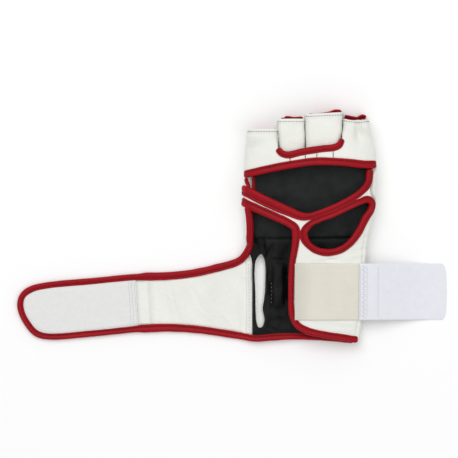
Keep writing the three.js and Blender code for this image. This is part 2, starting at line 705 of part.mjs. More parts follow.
function backPanel() {
  const turns = evenly(0, 1, BACK_TURNS);
  const outside = (turn, along) => backPoint(turn, along, 0, () => 0);
  const inside = (turn, along) => backPoint(turn, along, SIDE_WALL, (row) => row.pad);
  const body = solid(slab(grid(inside, turns, backStations), grid(outside, turns, backStations)));
  return body.intersect(block(backOutline())).subtract(strapSlot());
}

function rollRise(x, y) {
  const sideways = (x - acrossToX(ROLL.across)) / (ROLL.width * HAND_WIDTH * 0.5);
  const lengthways = (y - alongToY(ROLL.along)) / (ROLL.length * HAND_LENGTH * 0.5);
  const shape = Math.max(0, 1 - sideways ** 2) * Math.max(0, 1 - lengthways ** 4);
  return ROLL_HEIGHT * shape;
}

function liningPiece() {
  const turns = evenly(0, 1, BACK_TURNS);
  const covered = [...backStations, ...ROLL_ENDS].filter((along) => along < LOOP_ROOT);
  const stations = covered.sort((a, b) => a - b);
  const under = (turn, along) => backPoint(turn, along, SIDE_WALL + GAP, (row) => row.pad + GAP);
  const rise = GAP + LINING_WALL;
  const over = (turn, along) => {
    const point = backPoint(turn, along, SIDE_WALL + rise, (row) => row.pad + rise);
    point.z += rollRise(point.x, point.y);
    return point;
  };
  const sheet = solid(slab(grid(over, turns, stations), grid(under, turns, stations)));
  return sheet.intersect(block(backOutline())).subtract(strapSlot());
}

// The strap lies flat, with one low fold across it where the patch ends.
const foldShare = (out) => Math.exp(-(((out - STRAP_FOLD_OUT) / STRAP_FOLD_RUN) ** 2));
const strapTop = (out) => STRAP_WALL + STRAP_FOLD * foldShare(out);
const STRAP_COLUMNS = 26;
function strapSheet(fromOut, toOut, lift, wall, columnsAcross) {
  const sides = [strapY(STRAP_REACH.low), strapY(STRAP_REACH.high)];
  const place = (out, y) => new THREE.Vector3(strapX(out), y, strapTop(out) + lift);
  const outer = grid(place, evenly(toOut, fromOut, columnsAcross), sides);
  return solid(slab(outer, lowered(outer, wall)));
}
function strapOutline() {
  const line = STRAP_EDGE.map((row) => new THREE.Vector2(strapX(row.out), strapY(row.over)));
  const root = acrossToX(STRAP_ROOT_ACROSS);
  const lower = { x: root, y: alongToY(BACK_LOWER_EDGE[0].along) };
  return block([{ x: root, y: line[0].y }, ...smoothed(line), lower]);
}
const strapPanel = () => strapSheet(0, 1, 0, STRAP_WALL, STRAP_COLUMNS).intersect(strapOutline());
function strapPatch() {
  const from = 1 - PATCH_LENGTH / STRAP_LENGTH;
  return strapSheet(from, 1, GAP + PATCH_WALL, PATCH_WALL, STRAP_COLUMNS / 2).intersect(strapOutline());
}

const elasticFrom = acrossToX(ELASTIC_FROM);
const elasticTo = elasticFrom + ELASTIC_LENGTH;
const elasticMiddle = alongToY(ELASTIC_ALONG);
const elasticEdges = evenly(elasticMiddle - ELASTIC_WIDTH / 2, elasticMiddle + ELASTIC_WIDTH / 2, 5);
const elasticTop = (x, y) => palmHeight(x, y) + 2 * GAP + ELASTIC_WALL;
function elasticBand() {
  const place = (x, y) => new THREE.Vector3(x, y, elasticTop(x, y));
  const outer = grid(place, evenly(elasticFrom, elasticTo - GAP, 12), elasticEdges);
  return solid(slab(outer, inward(outer, ELASTIC_WALL)));
}

// The hook tab leaves the elastic's end and comes down to the floor.
const TAB_LANDING = 0.85;
function hookTab() {
  const place = (share, y) => {
    const x = elasticTo + share * TAB_LENGTH;
    const start = elasticTop(elasticTo - GAP, y);
    const fall = smooth(0, TAB_LANDING, share);
    return new THREE.Vector3(x, y, THREE.MathUtils.lerp(start, TAB_WALL, fall));
  };
  const outer = grid(place, evenly(0, 1, 16), elasticEdges);
  const sheet = solid(slab(outer, lowered(outer, TAB_WALL)));
  const end = elasticTo + TAB_LENGTH;
  const low = elasticMiddle - ELASTIC_WIDTH / 2;
  const high = elasticMiddle + ELASTIC_WIDTH / 2;
  const shape = new THREE.Shape();
  shape.moveTo(elasticFrom, low - 1);
  shape.lineTo(end - TAB_CORNER, low - 1);
  shape.lineTo(end - TAB_CORNER, low);
  shape.quadraticCurveTo(end - TAB_CORNER / 3, low + TAB_CORNER / 4, end - TAB_CORNER / 4, low + TAB_CORNER);
  shape.quadraticCurveTo(end + TAB_CORNER / 8, elasticMiddle, end - TAB_CORNER / 3, high - TAB_CORNER);
  shape.quadraticCurveTo(end - TAB_CORNER / 2, high - TAB_CORNER / 3, end - 1.5 * TAB_CORNER, high);
  shape.lineTo(end - 1.5 * TAB_CORNER, high + 1);
  shape.lineTo(elasticFrom, high + 1);
  return sheet.intersect(block(shape.getPoints(4)));
}

// Every binding, from the topmost down: each later piece is cut clear of those before it.
const sideToStrap = [...sideStops(), ...floorStops(STRAP_EDGE), ...floorStops(BACK_LOWER_EDGE)];
const BINDINGS = {
  finger_band_binding: { stops: palmStops(FINGER_BAND_EDGE) },
  finger_slot_binding: { stops: palmStops(FINGER_SLOT_EDGE) },
  palm_opening_binding: { stops: palmStops(PALM_OPENING_EDGE) },
  thumb_hole_binding: { stops: palmStops(THUMB_HOLE_EDGE), options: { closed: true } },
  wrist_opening_binding: { stops: palmStops(WRIST_OPENING_EDGE) },
  strap_binding: { stops: sideToStrap },
};
for (const finger of FINGERS) {
  const height = padTop(alongToY(finger.padFrom)) - GAP;
  BINDINGS[`${finger.name}_pad_binding`] = { stops: padStops(finger), options: { height } };
}

const glove = new THREE.Group();
const FINISHES = {
  leather: { color: LEATHER_WHITE, roughness: 0.55 },
  binding: { color: LEATHER_RED, roughness: 0.4 },
  lining: { color: CLOTH_BLACK, roughness: 0.85 },
  elastic: { color: ELASTIC_CREAM, roughness: 0.9 },
  hook: { color: HOOK_WHITE, roughness: 0.8 },
  patch: { color: PATCH_WHITE, roughness: 0.95 },
};
function add(name, body, finish) {
  const made = body.getMesh();
  const geometry = meshGeometry(Array.from(made.vertProperties), Array.from(made.triVerts));
  geometry.computeVertexNormals();
  const material = new THREE.MeshStandardMaterial({ metalness: 0, ...FINISHES[finish] });
  const mesh = new THREE.Mesh(geometry, material);
  mesh.name = name;
  glove.add(mesh);
}

const largest = (body) => body.decompose().sort((a, b) => b.volume() - a.volume())[0];
const clearances = [];
const clearOfBindings = (body) =>
  largest(clearances.reduce((rest, clearance) => rest.subtract(clearance), body));
for (const [name, { stops, options }] of Object.entries(BINDINGS)) {
  add(name, clearOfBindings(bar(stops, options)), "binding");
  clearances.push(bar(stops, { ...options, grow: GAP }));
}

const PIECES = {
  finger_band: [fingerBand(), "leather"],
  ring_loop: [fingerLoop(RING), "leather"],
  middle_loop: [fingerLoop(MIDDLE), "leather"],
  palm_panel: [palmPanel(), "leather"],
  palm_neck: [palmNeck(), "leather"],
  back_panel: [backPanel(), "leather"],
  lining: [liningPiece(), "lining"],
  strap_panel: [strapPanel(), "leather"],
  strap_patch: [strapPatch(), "patch"],
  elastic_band: [elasticBand(), "elastic"],
  hook_tab: [hookTab(), "hook"],
};
for (const [name, [body, finish]] of Object.entries(PIECES)) add(name, clearOfBindings(body), finish);

// The origin is under the middle of the glove, on the floor.
const box = new THREE.Box3().setFromObject(glove);
glove.position.set(-(box.min.x + box.max.x) / 2, -(box.min.y + box.max.y) / 2, -box.min.z);

export default glove;
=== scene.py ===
"""An open-palm grappling glove for the right hand, lying on its padded back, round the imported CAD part.

The shapes are worked out in millimetres from the same sizes as the CAD part and put down in metres.
"""

import math
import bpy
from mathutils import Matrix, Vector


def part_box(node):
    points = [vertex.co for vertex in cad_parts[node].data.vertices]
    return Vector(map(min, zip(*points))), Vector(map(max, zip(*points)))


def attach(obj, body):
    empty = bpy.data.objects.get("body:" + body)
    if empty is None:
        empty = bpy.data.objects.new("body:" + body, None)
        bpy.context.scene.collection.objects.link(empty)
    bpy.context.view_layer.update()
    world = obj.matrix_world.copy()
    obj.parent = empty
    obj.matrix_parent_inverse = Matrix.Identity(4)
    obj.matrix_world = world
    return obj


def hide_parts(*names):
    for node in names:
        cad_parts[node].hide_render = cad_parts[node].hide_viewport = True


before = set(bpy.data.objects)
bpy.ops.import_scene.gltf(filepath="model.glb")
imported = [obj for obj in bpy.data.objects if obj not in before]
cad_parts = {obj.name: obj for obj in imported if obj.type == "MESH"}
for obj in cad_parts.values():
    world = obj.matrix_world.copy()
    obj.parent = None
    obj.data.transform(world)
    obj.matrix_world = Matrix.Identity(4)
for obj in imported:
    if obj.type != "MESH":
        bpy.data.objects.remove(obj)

from types import SimpleNamespace

import bpy
import numpy as np
from bpy.props import FloatProperty, FloatVectorProperty, IntProperty, PointerProperty
from mathutils import Vector

bl_info = {
    "name": "Grappling glove",
    "version": (1, 0, 0),
    "blender": (4, 5, 0),
    "location": "3D View > Sidebar > Glove",
    "description": "Builds an open-palm grappling glove piece by piece",
    "category": "Object",
}

MM = 0.001
UP = (0.0, 0.0, 1.0)
# The steepest slope that a binding's top follows
STEEPEST = 1.2
# From one point of a binding to the next, in millimetres
BINDING_STEP = 0.8
# Millimetres of the stitches along a hem, and of those through the patch and the tab
HEM_STITCH = {"pitch": 2.4, "length": 1.15, "radius": 0.38}
TAPE_STITCH = {"pitch": 2.2, "length": 1.5, "radius": 0.24}
# A pitch longer than any line, so that one stitch lies in its middle
SINGLE = 99
# Angles in degrees up to which a piece is shaded smoothly
LEATHER_ANGLE, BACK_ANGLE, BINDING_ANGLE, STITCH_ANGLE = 40, 50, 55, 60
# Height in millimetres at which the picture's width is measured
PICTURE_LEVEL = 12.0

# How square the palm's crown, the back's corners and the finger loops are, as in the CAD part
CROWN_SQUARENESS = 2.5
BACK_SQUARENESS = 3.4
LOOP_SQUARENESS = 3
CREASED_SQUARENESS = 5
FLAT_SHARE = 0.18

# along, left, right, crown, left side, right side, pad: shares of the hand's length, width and depth,
# of the side's height and of the pad's thickness
SECTIONS = (
    (0.0, 0.057, 0.871, 0.5, 0.29, 0.58, 0.33),
    (0.08, 0.057, 0.886, 0.58, 0.29, 0.64, 0.33),
    (0.22, 0.057, 0.913, 0.69, 0.31, 0.75, 0.35),
    (0.35, 0.057, 0.924, 0.78, 0.35, 0.85, 0.4),
    (0.4, 0.032, 0.929, 0.82, 0.5, 0.89, 0.46),
    (0.45, 0.006, 0.937, 0.87, 0.68, 0.93, 0.55),
    (0.54, -0.004, 0.977, 0.94, 0.86, 0.97, 0.72),
    (0.6, -0.008, 1.0, 0.97, 0.95, 1.0, 0.85),
    (0.64, -0.004, 1.002, 0.985, 1.0, 1.0, 0.93),
    (0.68, 0.0, 1.003, 1.0, 1.0, 1.0, 0.98),
    (0.735, 0.002, 1.004, 1.0, 1.0, 1.0, 1.0),
    (0.755, 0.003, 1.003, 0.995, 1.0, 1.0, 1.0),
    (0.83, 0.01, 0.99, 0.97, 0.98, 0.98, 1.0),
    (0.88, 0.018, 0.974, 0.93, 0.96, 0.96, 1.0),
    (0.92, 0.03, 0.957, 0.9, 0.93, 0.93, 0.97),
    (0.96, 0.04, 0.938, 0.88, 0.88, 0.88, 0.93),
    (1.0, 0.05, 0.92, 0.86, 0.8, 0.8, 0.86),
)
# along, and the degrees that the left and right walls turn in over the hand
CURLS = (
    (0.35, 0, 0),
    (0.4, 6, 0),
    (0.45, 21, 0),
    (0.54, 26, 0),
    (0.6, 25, 0),
    (0.64, 23, 20),
    (0.68, 20, 21),
    (0.705, 0, 21),
    (0.735, 0, 18),
    (0.755, 0, 0),
)
# The fingers from the little one: ends of the loop's top edge, ends of the pad, the loop's height
FINGERS = (
    ("little", 0.916, 0.916, 0.9, 0.905, 0.9),
    ("ring", 0.959, 0.959, 0.958, 0.963, 0.87),
    ("middle", 0.979, 0.987, 0.976, 0.99, 0.89),
    ("index", 0.959, 0.956, 0.966, 0.966, 0.9),
)
# The valleys between the fingers, across the hand at their root and at their tip
VALLEYS = ((0.262, 0.249), (0.463, 0.458), (0.731, 0.748))
INDEX_DIP = 0.006
LOOP_ROOT = 0.79
VALLEY_TIP = 0.96
SLIT_ROOT = 0.83
ARCH_RUN = 0.055

# The edges that the bindings follow: across, along, width as shares of the hand's and the binding's
FINGER_BAND_EDGE = (
    (0.006, 0.722, 1.05),
    (0.15, 0.741, 1.1),
    (0.32, 0.76, 1.1),
    (0.53, 0.777, 1.1),
    (0.74, 0.774, 1.1),
    (0.9, 0.765, 1.1),
    (0.993, 0.765, 1.1),
)
FINGER_SLOT_EDGE = (
    (0.252, 0.832, 0.85),
    (0.284, 0.812, 0.95),
    (0.33, 0.805, 1.0),
    (0.44, 0.818, 1.0),
    (0.59, 0.831, 1.0),
    (0.68, 0.837, 1.0),
    (0.718, 0.848, 0.95),
    (0.74, 0.873, 0.75),
)
PALM_OPENING_EDGE = (
    (-0.008, 0.657, 1.45),
    (0.03, 0.647, 1.45),
    (0.106, 0.624, 1.45),
    (0.22, 0.593, 1.45),
    (0.348, 0.562, 1.35),
    (0.425, 0.545, 1.2),
    (0.485, 0.543, 1.0),
    (0.56, 0.556, 0.9),
    (0.675, 0.581, 0.9),
    (0.795, 0.615, 0.9),
    (0.875, 0.645, 0.95),
    (0.932, 0.682, 1.0),
    (0.951, 0.745, 1.0),
)
WRIST_OPENING_EDGE = (
    (-0.008, 0.607, 1.25),
    (0.03, 0.5955, 1.2),
    (0.1, 0.5765, 1.2),
    (0.227, 0.545, 1.2),
    (0.337, 0.516, 1.15),
    (0.386, 0.494, 1.15),
    (0.392, 0.468, 1.15),
    (0.384, 0.413, 1.0),
    (0.364, 0.343, 0.9),
    (0.356, 0.222, 0.85),
    (0.362, 0.13, 0.9),
    (0.395, 0.086, 1.0),
    (0.477, 0.057, 1.0),
    (0.614, 0.039, 0.95),
    (0.765, 0.026, 0.95),
    (0.858, 0.017, 0.95),
)
WRIST_TURN = 6
THUMB_HOLE_EDGE = (
    (0.455, 0.482, 1.1),
    (0.5, 0.512, 0.9),
    (0.565, 0.53, 0.85),
    (0.675, 0.554, 0.85),
    (0.795, 0.586, 0.85),
    (0.87, 0.606, 0.95),
    (0.932, 0.616, 1.0),
    (0.966, 0.6, 1.0),
    (0.958, 0.572, 1.0),
    (0.917, 0.536, 1.05),
    (0.864, 0.477, 1.0),
    (0.795, 0.428, 1.0),
    (0.723, 0.401, 1.0),
    (0.627, 0.39, 1.0),
    (0.54, 0.401, 1.0),
    (0.478, 0.428, 1.05),
    (0.452, 0.455, 1.15),
)
BACK_LOWER_EDGE = (
    (0.083, 0.022, 0.95),
    (0.21, 0.027, 1.0),
    (0.34, 0.031, 0.95),
    (0.515, 0.029, 0.9),
    (0.674, 0.023, 0.9),
    (0.83, 0.014, 0.9),
)
# The strap's edge: out from its root, over from its middle line, width of the binding
STRAP_ROOT_ACROSS = 0.053
STRAP_MIDDLE_ALONG = 0.162
STRAP_EDGE = (
    (0.047, 0.79, 1.05),
    (0.157, 0.645, 1.1),
    (0.255, 0.56, 1.1),
    (0.353, 0.517, 1.1),
    (0.45, 0.505, 1.15),
    (0.475, 0.5, 0.95),
    (0.515, 0.492, 0.9),
    (0.677, 0.428, 0.9),
    (0.872, 0.353, 0.9),
    (0.938, 0.29, 0.9),
    (0.975, 0.185, 0.9),
    (0.987, 0.05, 0.9),
    (0.981, -0.12, 0.9),
    (0.955, -0.32, 0.9),
    (0.92, -0.475, 0.9),
    (0.87, -0.534, 0.9),
    (0.677, -0.483, 0.9),
    (0.481, -0.402, 0.95),
    (0.455, -0.397, 1.15),
    (0.353, -0.383, 1.1),
    (0.221, -0.419, 1.05),
    (0.047, -0.524, 1.0),
)
# How far the patch reaches past its CAD end, as a share of the strap, and the slope of its sewn end
PATCH_OVERLAP = 0.02
PATCH_LEAN = 0.063
STRAP_FOLD_OUT = 0.46
STRAP_FOLD_RUN = 0.05
# The strap's wrinkles: out, over, turn from the strap's width, length and rise
STRAP_WRINKLES = (
    (0.33, 0.1, 0.25, 16, -0.5),
    (0.29, -0.1, -0.2, 12, 0.5),
    (0.24, 0.2, 0.5, 14, -0.5),
    (0.2, -0.15, 0.9, 11, 0.5),
    (0.15, 0.1, 0.6, 15, -0.7),
    (0.11, -0.2, 0.75, 12, 0.7),
    (0.08, 0.25, 0.3, 14, -0.6),
    (0.055, -0.1, 0.1, 22, 0.7),
)
# Places along the left side: of the strap's binding on the rim, and of the two red edges of the gap
# at the left end of the palm opening, the inner and the outer one
SIDE_EDGE_ALONG = (0.585, 0.54, 0.49, 0.45, 0.415)
SIDE_GAP_ALONG = (0.715, 0.69, 0.665, 0.64)
SIDE_GAP_OUTER = (0.706, 0.692, 0.678, 0.664)
SIDE_GAP_ACROSS = 0.072
# The slot in the back, from its finger end round: across, along
STRAP_SLOT = (
    (0.133, 0.384),
    (0.161, 0.362),
    (0.167, 0.235),
    (0.16, 0.19),
    (0.15, 0.15),
    (0.162, 0.1),
    (0.144, 0.071),
    (0.111, 0.07),
    (0.096, 0.09),
    (0.089, 0.133),
    (0.086, 0.222),
    (0.081, 0.309),
    (0.092, 0.358),
)
# The padded roll beside the slot: across and along, and its size as shares of the hand
ROLL_PLACE = (0.26, 0.25)
ROLL_SIZE = (0.1, 0.2)
# The folds of the lining round the slot and the roll: across, along, turn from lengthways, length and rise
LINING_FOLDS = (
    (0.1, 0.44, 0.35, 9, 1.4),
    (0.15, 0.425, 0.1, 9, 1.2),
    (0.2, 0.4, -0.5, 8, -1.2),
    (0.19, 0.24, 0.0, 17, -1.3),
    (0.185, 0.1, -0.35, 8, 1.0),
    (0.33, 0.25, 0.0, 20, -1.2),
    (0.26, 0.37, 1.5, 7, 0.9),
    (0.25, 0.11, 1.3, 8, 0.9),
    (0.22, 0.06, 1.0, 8, -0.9),
)
# The elastic's start across, its middle along, and the share of the tab at which it reaches the floor
ELASTIC_FROM = 0.383
ELASTIC_ALONG = 0.2225
TAB_LANDING = 0.85
LINING_SEAM_ALONG = 0.452

# The creases of the palm near the thumb side and round the elastic: across, along, lean, length and rise
PALM_CREASES = (
    (0.84, 0.44, 0.35, 14, -0.5),
    (0.86, 0.4, 0.15, 12, -0.4),
    (0.8, 0.375, 0.05, 16, 0.35),
    (0.66, 0.36, -0.1, 12, -0.25),
    (0.55, 0.05, 0.1, 20, 0.3),
    (0.8, 0.085, -0.15, 14, 0.3),
    (0.9, 0.47, 1.1, 12, -0.5),
    (0.87, 0.44, 0.9, 10, 0.45),
    (0.62, 0.367, 0.1, 14, 0.4),
    (0.73, 0.37, 0.25, 12, -0.4),
    (0.93, 0.5, 1.3, 12, 0.45),
)

# The visible red edge of each finger's pad: across, along
PAD_EDGES = {
    "little": ((0.065, 0.9), (0.13, 0.905), (0.22, 0.9)),
    "ring": ((0.305, 0.963), (0.33, 0.966), (0.375, 0.962), (0.446, 0.965)),
    "middle": ((0.52, 0.976), (0.581, 0.979), (0.654, 0.986), (0.69, 0.9935), (0.738, 0.9925)),
    "index": ((0.762, 0.972), (0.823, 0.965), (0.859, 0.9625), (0.898, 0.9725), (0.925, 0.968)),
}
# The places across the hand of the four tack stitches below the finger slot
TACKS = (0.346, 0.461, 0.548, 0.671)

# A binding's outline from its cut edge over the roll, as shares of its width and height
FOLD_PROFILE = (
    (-0.5, 0.0),
    (-0.498, 0.27),
    (-0.47, 0.35),
    (-0.39, 0.39),
    (-0.29, 0.37),
    (-0.21, 0.27),
    (-0.13, 0.38),
    (-0.03, 0.44),
    (0.09, 0.48),
    (0.21, 0.5),
    (0.32, 0.48),
    (0.42, 0.39),
    (0.48, 0.22),
    (0.5, 0.0),
)
GROOVE_POINT = 5


def size(name, value, description):
    """A length that the panel shows, in metres."""
    return FloatProperty(
        name=name, description=description, default=value, min=0.0, subtype="DISTANCE", unit="LENGTH"
    )


def linear(code):
    """A colour written as sRGB hex, as the linear numbers that Blender keeps."""
    channels = [int(code[i : i + 2], 16) / 255 for i in (0, 2, 4)]
    return tuple(c / 12.92 if c <= 0.04045 else ((c + 0.055) / 1.055) ** 2.4 for c in channels)


def colour(name, code, description):
    """A colour that the panel shows."""
    return FloatVectorProperty(
        name=name, description=description, default=linear(code), min=0.0, max=1.0, size=3, subtype="COLOR"
    )


class GLOVE_PG_sizes(bpy.types.PropertyGroup):
    """The glove's sizes"""

    hand_width: size("Hand width", 0.119, "Across the palm")
    hand_length: size("Hand length", 0.211, "From the wrist edge to the finger ends")
    glove_depth: size("Depth", 0.031, "From the floor to the top of the palm")
    side_height: size("Side height", 0.014, "Height of the widest place")
    pad_thickness: size("Pad thickness", 0.012, "Padding of the back")
    side_wall: size("Side wall", 0.003, "Thickness of the side walls")
    leather: size("Leather", 0.0018, "Thickness of the palm leather")
    lining_wall: size("Lining", 0.0012, "Thickness of the black cloth")
    roll_height: size("Roll height", 0.003, "Rise of the padded roll beside the slot")
    strap_length: size("Strap length", 0.211, "From the root seam to the tip")
    strap_width: size("Strap width", 0.052, "Across the middle of the strap")
    strap_wall: size("Strap wall", 0.003, "Thickness of the strap")
    strap_fold: size("Strap fold", 0.0012, "Rise of the low fold across the strap")
    patch_length: size("Patch length", 0.104, "Length of the loop patch")
    patch_wall: size("Patch wall", 0.001, "Thickness of the loop patch")
    elastic_length: size("Elastic length", 0.058, "Seen length of the elastic")
    elastic_width: size("Elastic width", 0.0508, "Width of the elastic and the hook tab")
    elastic_wall: size("Elastic wall", 0.0014, "Thickness of the elastic")
    tab_length: size("Tab length", 0.0785, "Length of the hook tab")
    tab_wall: size("Tab wall", 0.0015, "Thickness of the hook tab")
    tab_corner: size("Tab corner", 0.008, "Rounding of the tab's corners")
    binding_width: size("Binding width", 0.0064, "Usual width of the red bindings")
    binding_height: size("Binding height", 0.0044, "Thickness of the folded binding")
    pad_binding_width: size("Pad binding width", 0.0042, "Width of the finger pads' binding")
    finger_slit: size("Finger slit", 0.003, "Gap between two finger pads")
    loop_gap: size("Loop gap", 0.0003, "Gap between two finger loops")
    gap: size("Gap", 0.0003, "Clearance between two pieces")
    stitch_pitch: size("Stitch pitch", 0.0032, "From one stitch to the next")
    stitch_length: size("Stitch length", 0.0021, "Seen length of a stitch")
    thread: size("Thread", 0.00032, "Radius of the sewing thread")
    seam_inset: size("Seam inset", 0.0026, "From a hem's edge to its stitches")
    camera_height: size("Camera height", 3.5, "From the floor to the camera")
    view_width: size("View width", 0.4125, "Width of the picture at the glove")
    sim_frames: IntProperty(
        name="Cloth frames", description="Length of the padding's cloth run", default=16, min=2
    )


class GLOVE_PG_colours(bpy.types.PropertyGroup):
    """The glove's colours"""

    white_leather: colour("White leather", "EAEBE4", "Leather of the palm, fingers and strap")
    red_leather: colour("Red leather", "9C0A19", "Leather of the bindings")
    black_lining: colour("Black lining", "1C1F1F", "Cloth inside the glove")
    loop_patch: colour("Loop patch", "EDEEEC", "Loop tape on the strap")
    cream_elastic: colour("Cream elastic", "E5E1D5", "Woven elastic")
    hook_tape: colour("Hook tape", "ECEDF4", "Hook tape of the tab")
    grey_thread: colour("Grey thread", "6E706B", "Stitches on the white leather")
    red_thread: colour("Red thread", "5A0410", "Stitches on the red bindings")
    white_thread: colour("White thread", "CDCFD2", "Stitches on the patch and the hook tab")
    dark_thread: colour("Dark thread", "3A3A3A", "Tack stitches")
    ground: colour("Ground", "FCFCFC", "The pale ground")


def interpolate(table, at, column):
    """Reads a column of a table at places along the hand, with its corners rounded off."""
    stations = [row[0] for row in table]
    values = [row[column] for row in table]
    taps = (-0.016, -0.008, 0.0, 0.008, 0.016)
    return sum(np.interp(at + tap, stations, values) for tap in taps) / len(taps)


def ripple(x, y, reach, seed):
    """Smooth unevenness between -1 and 1 with lumps about reach apart."""
    total = 0
    for wave in range(6):
        turn = seed * 1.3 + wave * 2.4
        pitch = reach * (0.6 + 0.22 * wave)
        run = x * math.cos(turn) + y * math.sin(turn)
        total = total + np.sin(2 * math.pi * run / pitch + seed * 1.7 + wave * wave)
    return total / 6


def ease(value, start, end):
    """Smooth step from 0 at start to 1 at end."""
    share = np.clip((value - start) / (end - start), 0, 1)
    return share * share * (3 - 2 * share)


def bump(distance, reach):
    """Soft hump that falls from 1 at no distance to nearly nothing at twice the reach."""
    return np.exp(-((distance / reach) ** 2))


def signed_power(value, power):
    return np.sign(value) * np.abs(value) ** power


def turned(dx, dy, turn):
    """Distances along two axes that are turned by an angle."""
    cos, sin = math.cos(turn), math.sin(turn)
    return dx * cos + dy * sin, dy * cos - dx * sin


def grid_of(x, y, z):
    """A grid of points from coordinates that may be rows, columns or single numbers."""
    return np.stack(np.broadcast_arrays(x, y, z), -1)


def smooth_line(stops, step, closed=False):
    """Evenly spaced stops on a centripetal Catmull-Rom line. Columns after the third ride along."""
    stops = np.asarray(stops, float)
    if closed:
        chain = np.vstack([stops[-1], stops, stops[0], stops[1]])
    else:
        chain = np.vstack([2 * stops[0] - stops[1], stops, 2 * stops[-1] - stops[-2]])
    fine = []
    for a, b, c, d in zip(chain, chain[1:], chain[2:], chain[3:]):
        t = np.cumsum([0, *(np.linalg.norm((q - p)[:3]) ** 0.5 + 1e-9 for p, q in ((a, b), (b, c), (c, d)))])
        at = np.linspace(t[1], t[2], 30, endpoint=False)[:, None]
        ab = (t[1] - at) / (t[1] - t[0]) * a + (at - t[0]) / (t[1] - t[0]) * b
        bc = (t[2] - at) / (t[2] - t[1]) * b + (at - t[1]) / (t[2] - t[1]) * c
        cd = (t[3] - at) / (t[3] - t[2]) * c + (at - t[2]) / (t[3] - t[2]) * d
        abc = (t[2] - at) / (t[2] - t[0]) * ab + (at - t[0]) / (t[2] - t[0]) * bc
        bcd = (t[3] - at) / (t[3] - t[1]) * bc + (at - t[1]) / (t[3] - t[1]) * cd
        fine.append((t[2] - at) / (t[2] - t[1]) * abc + (at - t[1]) / (t[2] - t[1]) * bcd)
    fine.append(chain[-2][None])
    fine = np.vstack(fine)
    run = np.concatenate([[0], np.cumsum(np.linalg.norm(np.diff(fine[:, :3], axis=0), axis=1))])
    count = max(2, round(run[-1] / step))
    even = np.linspace(0, run[-1], count + 1)
    line = np.stack([np.interp(even, run, column) for column in fine.T], 1)
    return line[:-1] if closed else line


def inside(points, outline):
    """Which points lie inside a closed outline, by their x and y."""
    x, y = points[..., 0], points[..., 1]
    found = np.zeros(x.shape, bool)
    for (ax, ay), (bx, by) in zip(outline, np.roll(outline, -1, axis=0)):
        if ay == by:
            continue
        crosses = ((ay > y) != (by > y)) & (x < (bx - ax) * (y - ay) / (by - ay) + ax)
        found ^= crosses
    return found


def cell_centres(grid):
    return (grid[:-1, :-1] + grid[:-1, 1:] + grid[1:, 1:] + grid[1:, :-1]) / 4


def edge_distance(points, outline):
    """How far points are from an outline of closely spaced points, by their x and y."""
    flat = points[..., :2].reshape(-1, 2)
    parts = np.array_split(flat, 40)
    nearest = [np.linalg.norm(part[:, None] - outline[None], axis=2).min(1) for part in parts]
    return np.concatenate(nearest).reshape(points.shape[:-1])


def normals_of(grid):
    """Unit normals of a grid of points, seen from outside with its columns to the right and rows upwards."""
    normal = np.cross(np.gradient(grid, axis=1), np.gradient(grid, axis=0))
    return normal / np.maximum(np.linalg.norm(normal, axis=-1, keepdims=True), 1e-9)


